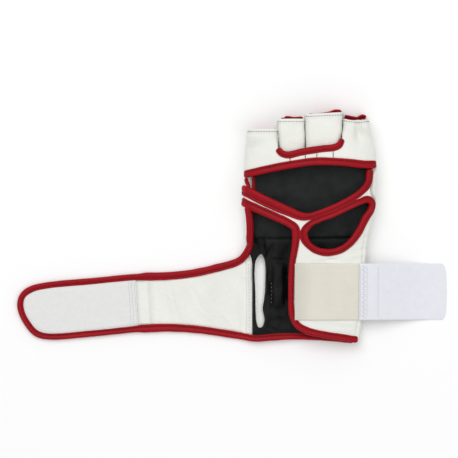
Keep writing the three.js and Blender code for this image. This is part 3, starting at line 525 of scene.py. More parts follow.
class Form:
    """The glove's shape in millimetres, from the panel's sizes."""

    def __init__(self):
        sizes = bpy.context.scene.glove_sizes
        for name in GLOVE_PG_sizes.__annotations__:
            value = getattr(sizes, name)
            setattr(self, name, value / MM if isinstance(value, float) else value)
        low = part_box("elastic_band")[0]
        self.elastic_start = self.x_of(ELASTIC_FROM)
        self.elastic_end = self.elastic_start + self.elastic_length
        self.elastic_middle = self.y_of(ELASTIC_ALONG)
        self.elastic_low = self.elastic_middle - self.elastic_width / 2
        self.elastic_high = self.elastic_middle + self.elastic_width / 2
        self.origin = np.array([low.x / MM - self.elastic_start, low.y / MM - self.elastic_low, 0.0])

    def x_of(self, across):
        return (np.asarray(across) - 0.5) * self.hand_width

    def y_of(self, along):
        return np.asarray(along) * self.hand_length

    def strap_x(self, out):
        return self.x_of(STRAP_ROOT_ACROSS) - np.asarray(out) * self.strap_length

    def strap_y(self, over):
        return self.y_of(STRAP_MIDDLE_ALONG) + np.asarray(over) * self.strap_width

    def rows(self, along):
        """The hand's cross-section at places along it."""
        left = self.x_of(interpolate(SECTIONS, along, 1))
        right = self.x_of(interpolate(SECTIONS, along, 2))
        return SimpleNamespace(
            middle=(left + right) / 2,
            half=(right - left) / 2,
            crown=interpolate(SECTIONS, along, 3) * self.glove_depth,
            left_side=interpolate(SECTIONS, along, 4) * self.side_height,
            right_side=interpolate(SECTIONS, along, 5) * self.side_height,
            pad=interpolate(SECTIONS, along, 6) * self.pad_thickness,
            left_curl=np.radians(interpolate(CURLS, along, 1)) * ease(along, 0.395, 0.425),
            right_curl=np.radians(interpolate(CURLS, along, 2)),
        )

    def palm_height(self, x, y):
        """The palm's outer face, as a height over the floor."""
        row = self.rows(y / self.hand_length)
        share = np.clip((x - row.middle) / row.half, -1, 1)
        side = np.where(share < 0, row.left_side, row.right_side)
        rise = (1 - np.abs(share) ** CROWN_SQUARENESS) ** (1 / CROWN_SQUARENESS)
        return side + (row.crown - side) * rise

    def palm_point(self, turn, along, inset):
        row = self.rows(along)
        angle = np.pi * turn
        x = row.middle - (row.half - inset) * signed_power(np.cos(angle), 2 / CROWN_SQUARENESS)
        side = np.where(turn < 0.5, row.left_side, row.right_side)
        reach = np.abs(np.sin(angle)) ** (2 / CROWN_SQUARENESS)
        z = side + self.gap + (row.crown - inset - side) * reach
        return grid_of(x, self.y_of(along), z)

    def lanes(self, under, rim):
        """Lanes of points round the back: evenly apart under the hand, and some up each rim."""
        share = np.linspace(0, 1, 3000)
        angle = np.pi / 2 * share**3 / (share**3 + (1 - share) ** 3)
        power = 2 / BACK_SQUARENESS
        x, z = np.cos(angle) ** power * self.hand_width / 2, np.sin(angle) ** power * self.side_height
        run = np.concatenate([[0], np.cumsum(np.hypot(np.diff(x), np.diff(z)))])
        quarter = np.interp(np.linspace(0, run[-1], under // 2), run, angle) / np.pi
        below = np.concatenate([quarter, 1 - quarter[-2::-1]])
        left, right = np.linspace(-1, 0, rim, endpoint=False), 1 + np.linspace(1, 0, rim, endpoint=False)[::-1]
        return np.concatenate([left, below, right])

    def back_point(self, lane, along, side_inset, floor):
        """A point of the back. lane is -1 at the left rim, 0 at the left side and 1 and 2 at the right ones."""
        row = self.rows(along)
        angle = np.pi * np.clip(lane, 0, 1) + np.minimum(lane, 0) * row.left_curl
        angle = angle + np.maximum(lane - 1, 0) * row.right_curl
        cos, sin = np.cos(angle), np.sin(angle)
        low = floor(row)
        side = np.maximum(low, np.where(cos > 0, row.left_side, row.right_side))
        power = np.where(sin < 0, 2 / CROWN_SQUARENESS, 2 / BACK_SQUARENESS)
        x = row.middle - (row.half - side_inset) * np.sign(cos) * np.abs(cos) ** power
        reach = np.abs(sin) ** power
        rim = side + (row.crown - side_inset - side) * reach
        under = np.maximum(low, side - (side - low) * (1 + FLAT_SHARE) * reach)
        return grid_of(x, self.y_of(along), np.where(sin < 0, rim, under))

    def valley_x(self, number, along):
        root, tip = VALLEYS[number]
        share = (along - LOOP_ROOT) / (VALLEY_TIP - LOOP_ROOT)
        return self.x_of(root + (tip - root) * share)

    def finger_sides(self, number, along):
        """The two sides of a finger at places along the hand."""
        row = self.rows(along)
        left = row.middle - row.half if number == 0 else self.valley_x(number - 1, along)
        right = row.middle + row.half if number == len(VALLEYS) else self.valley_x(number, along)
        return left, right

    def flat_line(self, edge, step=1.0, closed=False):
        """An edge of the hand as evenly spaced points on the floor."""
        stops = [(self.x_of(row[0]), self.y_of(row[1]), 0.0) for row in edge]
        return smooth_line(stops, step, closed)[:, :2]

    def palm_slope(self, x, y, reach):
        """Rise of the palm to the right, measured over a reach on both sides."""
        rise = self.palm_height(x + reach, y) - self.palm_height(x - reach, y)
        return np.clip(rise / (2 * reach), -STEEPEST, STEEPEST)

    def palm_stops(self, edge):
        """Stops of a binding that lies in the palm's leather: place, width and upward direction."""
        stops = []
        for across, along, width in edge:
            x, y = self.x_of(across), self.y_of(along)
            z = self.palm_height(x, y) + self.gap - self.leather / 2
            stops.append((x, y, z, width * self.binding_width, -self.palm_slope(x, y, 2), 0.0, 1.0))
        return stops

    def drape(self, line, tucked):
        """Lays a fine line of stops onto the palm and down its left side. Its end may be tucked in below."""
        row = self.rows(line[:, 1] / self.hand_length)
        beside = np.maximum(0, row.middle - row.half - line[:, 0])
        height = self.palm_height(line[:, 0], line[:, 1]) - 2.5 * beside
        run = np.linspace(0, 1, len(line))
        line[:, 2] = height + self.gap - self.leather / 2 - tucked * ease(run, 0.88, 1.0)
        line[:, 4] = -self.palm_slope(line[:, 0], line[:, 1], 1)

    def floor_stops(self, edge, raised=0.0):
        """Stops of a binding that lies on the floor, or is folded over a padded rim and so raised."""
        height = self.binding_height / 2 + raised
        x_of, y_of = (self.strap_x, self.strap_y) if edge is STRAP_EDGE else (self.x_of, self.y_of)
        return [(x_of(a), y_of(b), height, width * self.binding_width, *UP) for a, b, width in edge]

    def side_stops(self, places, width=1.0, lift=0.0):
        """Stops along the rim of the left side wall, up to 2 mm further out beside the wrist opening."""
        stops = []
        for along in places:
            outer = self.back_point(-1.0, along, 0.0, lambda row: 0.0)
            inner = self.back_point(-1.0, along, self.side_wall, lambda row: row.pad)
            x, y, z = (outer + inner) / 2
            x = x - 2.0 * ease(along, 0.5, 0.585) * (1 - ease(along, 0.585, 0.64))
            stops.append((x, y, z + lift, width * self.binding_width, -self.palm_slope(x, y, 2), 0.0, 1.0))
        return stops

    def back_outline(self):
        """The back's outline with a slit between two fingers and an end for each finger."""
        margin = 0.1 * self.hand_width
        lower = self.flat_line(BACK_LOWER_EDGE, 2.0)
        left, right = self.x_of(0) - margin, self.x_of(1) + margin
        points = [(left, lower[0, 1]), *map(tuple, lower), (right, lower[-1, 1])]
        for number in range(len(FINGERS) - 1, -1, -1):
            _, _, _, pad_from, pad_to, _ = FINGERS[number]
            last, first = number == len(FINGERS) - 1, number == 0
            half_slit = self.finger_slit / 2
            end = self.pad_binding_width / 2 + self.gap
            edge = self.y_of(np.array([pad_to, pad_from])) - end
            right_tip = right if last else self.finger_sides(number, pad_to)[1] - half_slit
            left_tip = left if first else self.finger_sides(number, pad_from)[0] + half_slit
            if not last:
                points.append((self.finger_sides(number, SLIT_ROOT)[1] - half_slit, self.y_of(SLIT_ROOT)))
            points += [(right_tip, edge[0]), (left_tip, edge[1])]
            if not first:
                points.append((self.finger_sides(number, SLIT_ROOT)[0] + half_slit, self.y_of(SLIT_ROOT)))
        return np.array(points, float)

    def strap_top(self, x):
        """The strap's upper face, with a low fold where the patch ends."""
        out = (self.x_of(STRAP_ROOT_ACROSS) - x) / self.strap_length
        fold = self.strap_fold * bump(out - STRAP_FOLD_OUT, STRAP_FOLD_RUN)
        return self.strap_wall + fold

    def strap_outline(self):
        stops = [(self.strap_x(out), self.strap_y(over), 0.0) for out, over, _ in STRAP_EDGE]
        line = smooth_line(stops, 1.0)[:, :2]
        root = float(self.x_of(STRAP_ROOT_ACROSS))
        first, last = self.y_of(SIDE_EDGE_ALONG[-1]), self.y_of(BACK_LOWER_EDGE[0][1])
        return np.vstack([[root, first], line, [root, last]])

    def back_cut(self, centre):
        """Which cells of the back or its lining are kept, and the lines that they are cut to."""
        outline, slot = self.back_outline(), self.flat_line(STRAP_SLOT, 0.8, True)
        return inside(centre, outline) & ~inside(centre, slot), np.vstack([densified(outline, 0.6), slot])

    def elastic_top(self, x, y):
        return self.palm_height(x, y) + 2 * self.gap + self.elastic_wall


def densified(outline, step=0.3):
    """A closed outline with points close enough together to pull edges onto."""
    found = []
    for a, b in zip(outline, np.roll(outline, -1, axis=0)):
        count = max(1, int(np.linalg.norm(b - a) / step))
        found.append(a + (b - a) * np.linspace(0, 1, count, endpoint=False)[:, None])
    return np.vstack(found)


def shell(outer, inner, keep=None, outline=None, reach=1.6):
    """Closed wall between two grids of points, on the kept cells, with its cut edges pulled onto the outline."""
    rows, columns = outer.shape[:2]
    if keep is None:
        keep = np.ones((rows - 1, columns - 1), bool)
    number = np.arange(rows * columns).reshape(rows, columns)
    a, b, c, d = number[:-1, :-1], number[:-1, 1:], number[1:, 1:], number[1:, :-1]
    count = rows * columns
    top = np.stack([a, b, c, d], -1)[keep]
    around = np.pad(keep, 1)
    sides = []
    for p, q, down, over in ((a, b, -1, 0), (b, c, 0, 1), (c, d, 1, 0), (d, a, 0, -1)):
        neighbour = around[1 + down : rows + down, 1 + over : columns + over]
        edge = keep & ~neighbour
        sides.append(np.stack([q[edge], p[edge], p[edge] + count, q[edge] + count], -1))
    sides = np.vstack(sides)
    points = np.concatenate([outer.reshape(-1, 3), inner.reshape(-1, 3)])
    if outline is not None:
        row, column = np.divmod(np.unique(sides[:, :2]), columns)
        free = (row > 0) & (row < rows - 1) & (column > 0) & (column < columns - 1)
        moved = (row * columns + column)[free]
        target = densified(outline)
        away = np.linalg.norm(points[moved, None, :2] - target[None], axis=2)
        nearest = away.argmin(1)
        close = away[np.arange(len(moved)), nearest] < reach
        shift = target[nearest[close]] - points[moved[close], :2]
        points[moved[close], :2] += shift
        points[moved[close] + count, :2] += shift
    faces = np.vstack([top, top[:, ::-1] + count, sides])
    used, faces = np.unique(faces, return_inverse=True)
    return points[used], faces.reshape(-1, 4)


def merged(parts):
    """Several meshes as one."""
    points, faces, start = [], [], 0
    for part_points, part_faces in parts:
        points.append(part_points)
        faces += [tuple(int(i) + start for i in face) for face in part_faces]
        start += len(part_points)
    return np.vstack(points), faces


def tube_faces(count, corners, closed=False):
    """Faces between rings of points, with a cap on both ends of an open tube."""
    faces = []
    for ring in range(count if closed else count - 1):
        here, there = ring * corners, (ring + 1) % count * corners
        for corner in range(corners):
            beside = (corner + 1) % corners
            faces.append((here + corner, here + beside, there + beside, there + corner))
    if not closed:
        faces += [tuple(range(corners))[::-1], tuple(range((count - 1) * corners, count * corners))]
    return faces


def sweep(stops, form, seed, fold=1, closed=False, height=None, wrinkle=1.6, on_palm=False, tucked=0.0):
    """A folded leather binding along stops: a roll over the edge, a stitch groove and a flat cut edge."""
    line = smooth_line(stops, BINDING_STEP, closed)
    if on_palm:
        form.drape(line, tucked)
    height = form.binding_height if height is None else height
    place, width, up = line[:, :3].copy(), line[:, 3], line[:, 4:7]
    place[:, 2] = np.maximum(place[:, 2], height / 2)
    if closed:
        ahead = np.roll(place, -1, axis=0) - np.roll(place, 1, axis=0)
    else:
        ahead = np.gradient(place, axis=0)
    ahead /= np.linalg.norm(ahead, axis=1, keepdims=True)
    up = up - ahead * (up * ahead).sum(1, keepdims=True)
    up /= np.linalg.norm(up, axis=1, keepdims=True)
    side = np.cross(ahead, up) * fold
    run = np.arange(len(place)) * BINDING_STEP
    if closed:
        around = 2 * np.pi * np.arange(len(place)) / len(place)
        uneven = sum(np.sin(around * k + seed * k) for k in (5, 9, 14)) / 3
        uneven_high = sum(np.sin(around * k + seed + k) for k in (7, 12, 17)) / 3
    else:
        uneven = ripple(run, 0 * run, 15, seed)
        uneven_high = ripple(run, 0 * run, 11, seed + 3)
    stitches = 0.5 + 0.5 * np.cos(2 * np.pi * run / form.stitch_pitch)
    full = np.array(FOLD_PROFILE + tuple((w, -h) for w, h in FOLD_PROFILE[-2:0:-1]))
    rings = []
    for number, (wide, high) in enumerate(full):
        upper = number < len(FOLD_PROFILE)
        high = high * (1 + 0.05 * wrinkle * uneven_high)
        if upper and abs(number - GROOVE_POINT) <= 1:
            high = high - (0.03 if number == GROOVE_POINT else 0.015) * stitches
        if upper and number > GROOVE_POINT + 1:
            high = high - 0.02 * wrinkle * stitches * (1 - abs(wide))
        wide = wide * width * (1 + 0.035 * wrinkle * uneven)
        rings.append(place + side * wide[:, None] + up * (high * height)[:, None])
    rings = np.stack(rings, 1)
    if not closed:
        for end in (0, -1):
            for number, share in enumerate((0.55, 0.86)):
                at = number if end == 0 else -1 - number
                rings[at] = place[at] + (rings[at] - place[at]) * share
    count, corners = rings.shape[:2]
    points = rings.reshape(-1, 3)
    points[:, 2] = np.maximum(points[:, 2], 0)
    groove = place + side * (FOLD_PROFILE[GROOVE_POINT][0] * width)[:, None]
    groove = groove + up * (FOLD_PROFILE[GROOVE_POINT][1] + 0.03) * height
    return (points, tube_faces(count, corners, closed)), groove, up


def stitch_run(line, up, form, pitch=None, length=None, radius=None, sunk=0.5):
    """Stitches along a line of points: short threads that dive into the leather at both ends."""
    pitch = form.stitch_pitch if pitch is None else pitch
    length = form.stitch_length if length is None else length
    radius = form.thread if radius is None else radius
    run = np.concatenate([[0], np.cumsum(np.linalg.norm(np.diff(line, axis=0), axis=1))])
    parts = []
    first = min(pitch * 0.6, (run[-1] - length) / 2)
    for start in np.arange(first, run[-1] - length + 1e-6, pitch):
        at = start + length * np.linspace(0, 1, 6)
        middle = np.stack([np.interp(at, run, column) for column in line.T], 1)
        raised = np.stack([np.interp(at, run, column) for column in up.T], 1)
        bow = np.sin(np.pi * np.linspace(0, 1, 6))
        middle = middle + raised * ((bow * (1 + sunk) - sunk) * radius)[:, None]
        ahead = np.gradient(middle, axis=0)
        ahead /= np.linalg.norm(ahead, axis=1, keepdims=True)
        side = np.cross(ahead, raised)
        side /= np.linalg.norm(side, axis=1, keepdims=True)
        over = np.cross(side, ahead)
        thick = radius * (0.55 + 0.45 * bow)
        rings = [
            middle + side * (thick * math.cos(turn))[:, None] + over * (thick * math.sin(turn))[:, None]
            for turn in np.arange(6) * math.pi / 3
        ]
        parts.append((np.stack(rings, 1).reshape(-1, 3), tube_faces(6, 6)))
    return parts


def volume(points, faces):
    """Six times what the faces enclose, below 0 when they look inwards."""
    total = 0.0
    for face in faces:
        corners = points[list(face)]
        for b, c in zip(corners[1:], corners[2:]):
            total += float(np.dot(corners[0], np.cross(b, c)))
    return total


def piece(name, mesh, form, finish, nodes=(), angle=LEATHER_ANGLE, slot=None):
    """Puts a closed mesh down as a piece of the glove, with its faces outwards. The slot argument is not used."""
    slot = slot or finish
    points, faces = mesh
    faces = [tuple(int(i) for i in face) for face in faces]
    if volume(points, faces) < 0:
        faces = [face[::-1] for face in faces]
    data = bpy.data.meshes.new(name)
    data.from_pydata(((points + form.origin) * MM).tolist(), [], faces)
    data.validate()
    data.materials.append(material(finish))
    made = bpy.data.objects.new(name, data)
    bpy.context.collection.objects.link(made)
    bpy.ops.object.select_all(action="DESELECT")
    made.select_set(True)
    bpy.context.view_layer.objects.active = made
    bpy.ops.object.shade_smooth_by_angle(angle=math.radians(angle))
    made.select_set(False)
    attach(made, "root")
    if nodes:
        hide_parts(*nodes)
    return made


def sewn(name, threads, form, finish, slot):
    """Puts down all the stitches of one thread as one piece."""
    need(threads, f"{name} has no stitches")
    piece(name, merged(threads), form, finish, angle=STITCH_ANGLE, slot=slot)


def add_node(tree, kind, links=(), **settings):
    """Adds a node, sets its attributes and inputs and links other nodes' outputs to it."""
    made = tree.nodes.new(kind)
    for name, value in settings.items():
        if name in made.inputs:
            made.inputs[name].default_value = value
        else:
            setattr(made, name, value)
    for name, source in dict(links).items():
        tree.links.new(source, made.inputs[name])
    return made


def new_material(name):
    made = bpy.data.materials.new(name)
    made.use_nodes = True
    made.node_tree.nodes.clear()
    return made, made.node_tree


def finished(tree, links=(), **settings):
    """The surface with its own constants, linked to the output."""
    shader = add_node(tree, "ShaderNodeBsdfPrincipled", links)
    for name, value in settings.items():
        shader.inputs[name.replace("_", " ")].default_value = value
    add_node(tree, "ShaderNodeOutputMaterial", {"Surface": shader.outputs["BSDF"]})


def mottled(tree, place, scale, detail, colour, darker, reach):
    """The colour with soft darker clouds, from the darkest to the full colour over a reach of the noise."""
    clouds = add_node(tree, "ShaderNodeTexNoise", {"Vector": place}, Scale=scale, Detail=detail)
    tint = add_node(tree, "ShaderNodeValToRGB", {"Fac": clouds.outputs["Fac"]})
    for element, share, position in zip(tint.color_ramp.elements, (darker, 1.0), reach):
        element.color = (*[c * share for c in colour], 1.0)
        element.position = position
    return tint.outputs["Color"]


def leather_material(name, colour, grain_mm, depth, roughness, shine, darker):
    """Leather: pebbled grain over soft creases, with the colour a little uneven as on a finished hide."""
    made, tree = new_material(name)
    place = add_node(tree, "ShaderNodeTexCoord").outputs["Object"]
    grain = add_node(tree, "ShaderNodeTexVoronoi", {"Vector": place}, feature="SMOOTH_F1", Scale=1000 / grain_mm)
    pores = add_node(tree, "ShaderNodeTexNoise", {"Vector": place}, Scale=2600.0, Detail=3.0)
    creases = add_node(tree, "ShaderNodeTexNoise", {"Vector": place}, Scale=130.0, Detail=5.0, Distortion=0.7)
    tint = mottled(tree, place, 38.0, 3.0, colour, darker, (0.3, 0.62))
    relief = {}
    for height, strength, distance in (
        (creases.outputs["Fac"], 0.8, depth * 4),
        (pores.outputs["Fac"], 0.35, depth * 0.5),
        (grain.outputs["Distance"], 0.6, depth),
    ):
        bumped = add_node(
            tree, "ShaderNodeBump", {"Height": height, **relief}, Strength=strength, Distance=distance
        )
        relief = {"Normal": bumped.outputs["Normal"]}
    finished(tree, {"Base Color": tint, **relief}, Roughness=roughness, Specular_IOR_Level=shine)
    return made


def cloth_material(name, colour, darker, warp, weft, depth, roughness, shine, mottle, shade=None):
    """Woven cloth: crossing threads, with a slightly mottled colour. warp and weft are threads to a metre.
    shade is painted shade that darkens the colour along an axis: the axis, the place where the cloth is darkest, where
    that ends, and the colour's share there."""
    made, tree = new_material(name)
    place = add_node(tree, "ShaderNodeTexCoord").outputs["Object"]
    layers = []
    for axis, threads in (("X", warp), ("Y", weft)):
        wave = {"bands_direction": axis, "Scale": threads, "Distortion": 0.6}
        layers.append((add_node(tree, "ShaderNodeTexWave", {"Vector": place}, **wave), 0.6))
    layers.append((add_node(tree, "ShaderNodeTexNoise", {"Vector": place}, Scale=1500.0, Detail=4.0), 0.4))
    tint = mottled(tree, place, mottle, 6.0, colour, darker, (0.35, 0.68))
    # painted shade: the colour is darkened along one axis, down to its share at the darkest place
    if shade:
        axis, darkest, plain, share = shade
        apart = add_node(tree, "ShaderNodeSeparateXYZ", {"Vector": place})
        limits = {"From Min": darkest, "From Max": plain, "To Min": share, "To Max": 1.0}
        painted_shade = add_node(tree, "ShaderNodeMapRange", {"Value": apart.outputs[axis]}, **limits)
        scaling = {"Vector": tint, "Scale": painted_shade.outputs["Result"]}
        tint = add_node(tree, "ShaderNodeVectorMath", scaling, operation="SCALE").outputs["Vector"]
    relief = {}
    for layer, strength in layers:
        height = {"Height": layer.outputs["Fac"], **relief}
        bumped = add_node(tree, "ShaderNodeBump", height, Strength=strength, Distance=depth)
        relief = {"Normal": bumped.outputs["Normal"]}
    finished(tree, {"Base Color": tint, **relief}, Roughness=roughness, Specular_IOR_Level=shine)
    return made


def thread_material(name, colour):
    """Sewing thread: twisted plies that catch a little light."""
    made, tree = new_material(name)
    place = add_node(tree, "ShaderNodeTexCoord").outputs["Object"]
    plies = add_node(tree, "ShaderNodeTexWave", {"Vector": place}, bands_direction="DIAGONAL", Scale=900.0)
    twist = add_node(tree, "ShaderNodeBump", {"Height": plies.outputs["Fac"]}, Strength=0.5, Distance=0.0001)
    finished(tree, {"Normal": twist.outputs["Normal"]}, Base_Color=(*colour, 1.0), Roughness=0.6)
    return made


REAL_NAMES = {
    "white_leather": "pebbled_white_leather",
    "red_leather": "skived_red_leather",
    "black_lining": "matt_black_knit",
    "loop_patch": "brushed_loop_tape",
    "cream_elastic": "woven_cream_elastic",
    "hook_tape": "white_hook_tape",
    "grey_thread": "grey_sewing_thread",
    "red_thread": "dark_red_sewing_thread",
    "white_thread": "white_sewing_thread",
    "dark_thread": "dark_sewing_thread",
}


def material(finish):
    """The material of a finish, made when a piece first asks for it."""
    name = REAL_NAMES[finish]
    found = bpy.data.materials.get(name)
    if found:
        return found
    tone = getattr(bpy.context.scene.glove_colours, finish)
    form = Form()
    if finish == "white_leather":
        # a soft pebbled hide, matt enough to keep its creases light
        return leather_material(name, tone, 1.1, depth=0.00022, roughness=0.5, shine=0.4, darker=0.955)
    if finish == "red_leather":
        # thin skiving leather pulled tight over an edge, with a soft streak of light
        return leather_material(name, tone, 0.9, depth=0.00016, roughness=0.42, shine=0.13, darker=0.84)
    if finish == "black_lining":
        # a matt knit, drawn at 1 mm so that its threads show, with painted shade that makes it blacker at the wrist
        seam = (form.y_of(LINING_SEAM_ALONG) + form.origin[1]) * MM
        shade = ("Y", seam - 0.006, seam, 0.2)
        return cloth_material(name, tone, 0.5, 320.0, 320.0, 0.00016, 0.48, 0.2, 120.0, shade)
    if finish == "loop_patch":
        # brushed loops, cooler and duller than the leather round them
        return cloth_material(name, tone, 0.965, 400.0, 400.0, 0.0002, 0.95, 0.15, 300.0)
    if finish == "cream_elastic":
        # ribs along the pull and threads across, drawn at 1.6 and 1 mm, with painted shade that darkens it near the
        # binding
        start = (form.elastic_start + form.origin[0]) * MM
        shade = ("X", start, start + 0.016, 0.84)
        return cloth_material(name, tone, 0.96, 320.0, 195.0, 0.00022, 0.9, 0.15, 60.0, shade)
    if finish == "hook_tape":
        # close rows of hooks, cool white with a faint sheen
        return cloth_material(name, tone, 0.97, 260.0, 420.0, 0.00018, 0.7, 0.2, 150.0)
    return thread_material(name, tone)


def placed_binding(name, stops, form, seed, threads, **options):
    """A red binding in place of the CAD one, with its row of stitches, which go to the list of threads."""
    mesh, groove, up = sweep(stops, form, seed, **options)
    threads.extend(stitch_run(groove, up, form))
    piece(f"{name}_seen", mesh, form, "red_leather", [name], BINDING_ANGLE)


def need(condition, message):
    if not condition:
        raise RuntimeError(message)


class GLOVE_OT_bindings(bpy.types.Operator):
    """Folds the red leather bindings over every edge and sews them down"""

    bl_idname = "glove.bindings"
    bl_label = "Red bindings"

    def execute(self, context):
        form = Form()
        threads = []
        edges = (
            ("finger_band_binding", FINGER_BAND_EDGE, {}),
            ("finger_slot_binding", FINGER_SLOT_EDGE, {"fold": -1}),
            ("palm_opening_binding", PALM_OPENING_EDGE, {"fold": -1, "tucked": 2.2}),
            ("thumb_hole_binding", THUMB_HOLE_EDGE, {"closed": True}),
            ("wrist_opening_binding", WRIST_OPENING_EDGE, {}),
        )
        for seed, (name, edge, options) in enumerate(edges, 1):
            placed_binding(name, form.palm_stops(edge), form, seed, threads, on_palm=True, **options)
        strap = form.side_stops(SIDE_EDGE_ALONG) + form.floor_stops(STRAP_EDGE)
        strap += form.floor_stops(BACK_LOWER_EDGE, 2.2)
        placed_binding("strap_binding", strap, form, 6, threads)
        self.side_gap(form)
        self.pads(form)
        sewn("binding_stitches", threads, form, "red_thread", "red_leather")
        return {"FINISHED"}

    def side_gap(self, form):
        """The two thin red edges of the gap at the left end of the palm opening."""
        x, z, width = form.x_of(SIDE_GAP_ACROSS), form.side_height, 0.45 * form.binding_width
        inner = [(x, form.y_of(along), z, width, *UP) for along in SIDE_GAP_ALONG]
        outer = form.side_stops(SIDE_GAP_OUTER, 0.5, 1.2)
        edges = [sweep(stops, form, 7, height=3.0)[0] for stops in (inner, outer)]
        piece("side_gap_binding_seen", merged(edges), form, "red_leather", angle=BINDING_ANGLE)

    def pads(self, form):
        """The red edge on the end of each finger's pad."""
        for seed, (finger, edge) in enumerate(PAD_EDGES.items(), 8):
            stops = []
            for across, along in edge:
                x, y = form.x_of(across), form.y_of(along) - 0.4
                stops.append((x, y, form.rows(along).pad / 2 + form.gap, form.pad_binding_width, *UP))
            height = float(form.rows(edge[0][1]).pad) - form.gap
            mesh, _, _ = sweep(stops, form, seed, fold=-1, height=height, wrinkle=0.6)
            name = f"{finger}_pad_binding"
            piece(f"{name}_seen", mesh, form, "red_leather", [name], BINDING_ANGLE)


def leather_relief(x, y, seed, depth=0.18):
    """Slight unevenness of soft leather."""
    return depth * ripple(x, y, 22, seed) + 0.5 * depth * ripple(x, y, 9, seed + 5)


def hem(distance, form):
    """Rise of a turned hem near a free edge, with the dent of its stitch row."""
    fold = 0.45 * (1 - ease(distance, form.seam_inset + 0.6, form.seam_inset + 2.2))
    edge = 0.7 * (1 - ease(distance, -0.2, 0.9))
    return fold - edge - 0.25 * bump(distance - form.seam_inset, 0.6)


def sheet_area(outer, keep=None):
    """Area of the kept cells of a grid."""
    a, b, c, d = outer[:-1, :-1], outer[:-1, 1:], outer[1:, 1:], outer[1:, :-1]
    cells = np.linalg.norm(np.cross(c - a, d - b), axis=-1) / 2
    return float(cells.sum() if keep is None else cells[keep].sum())


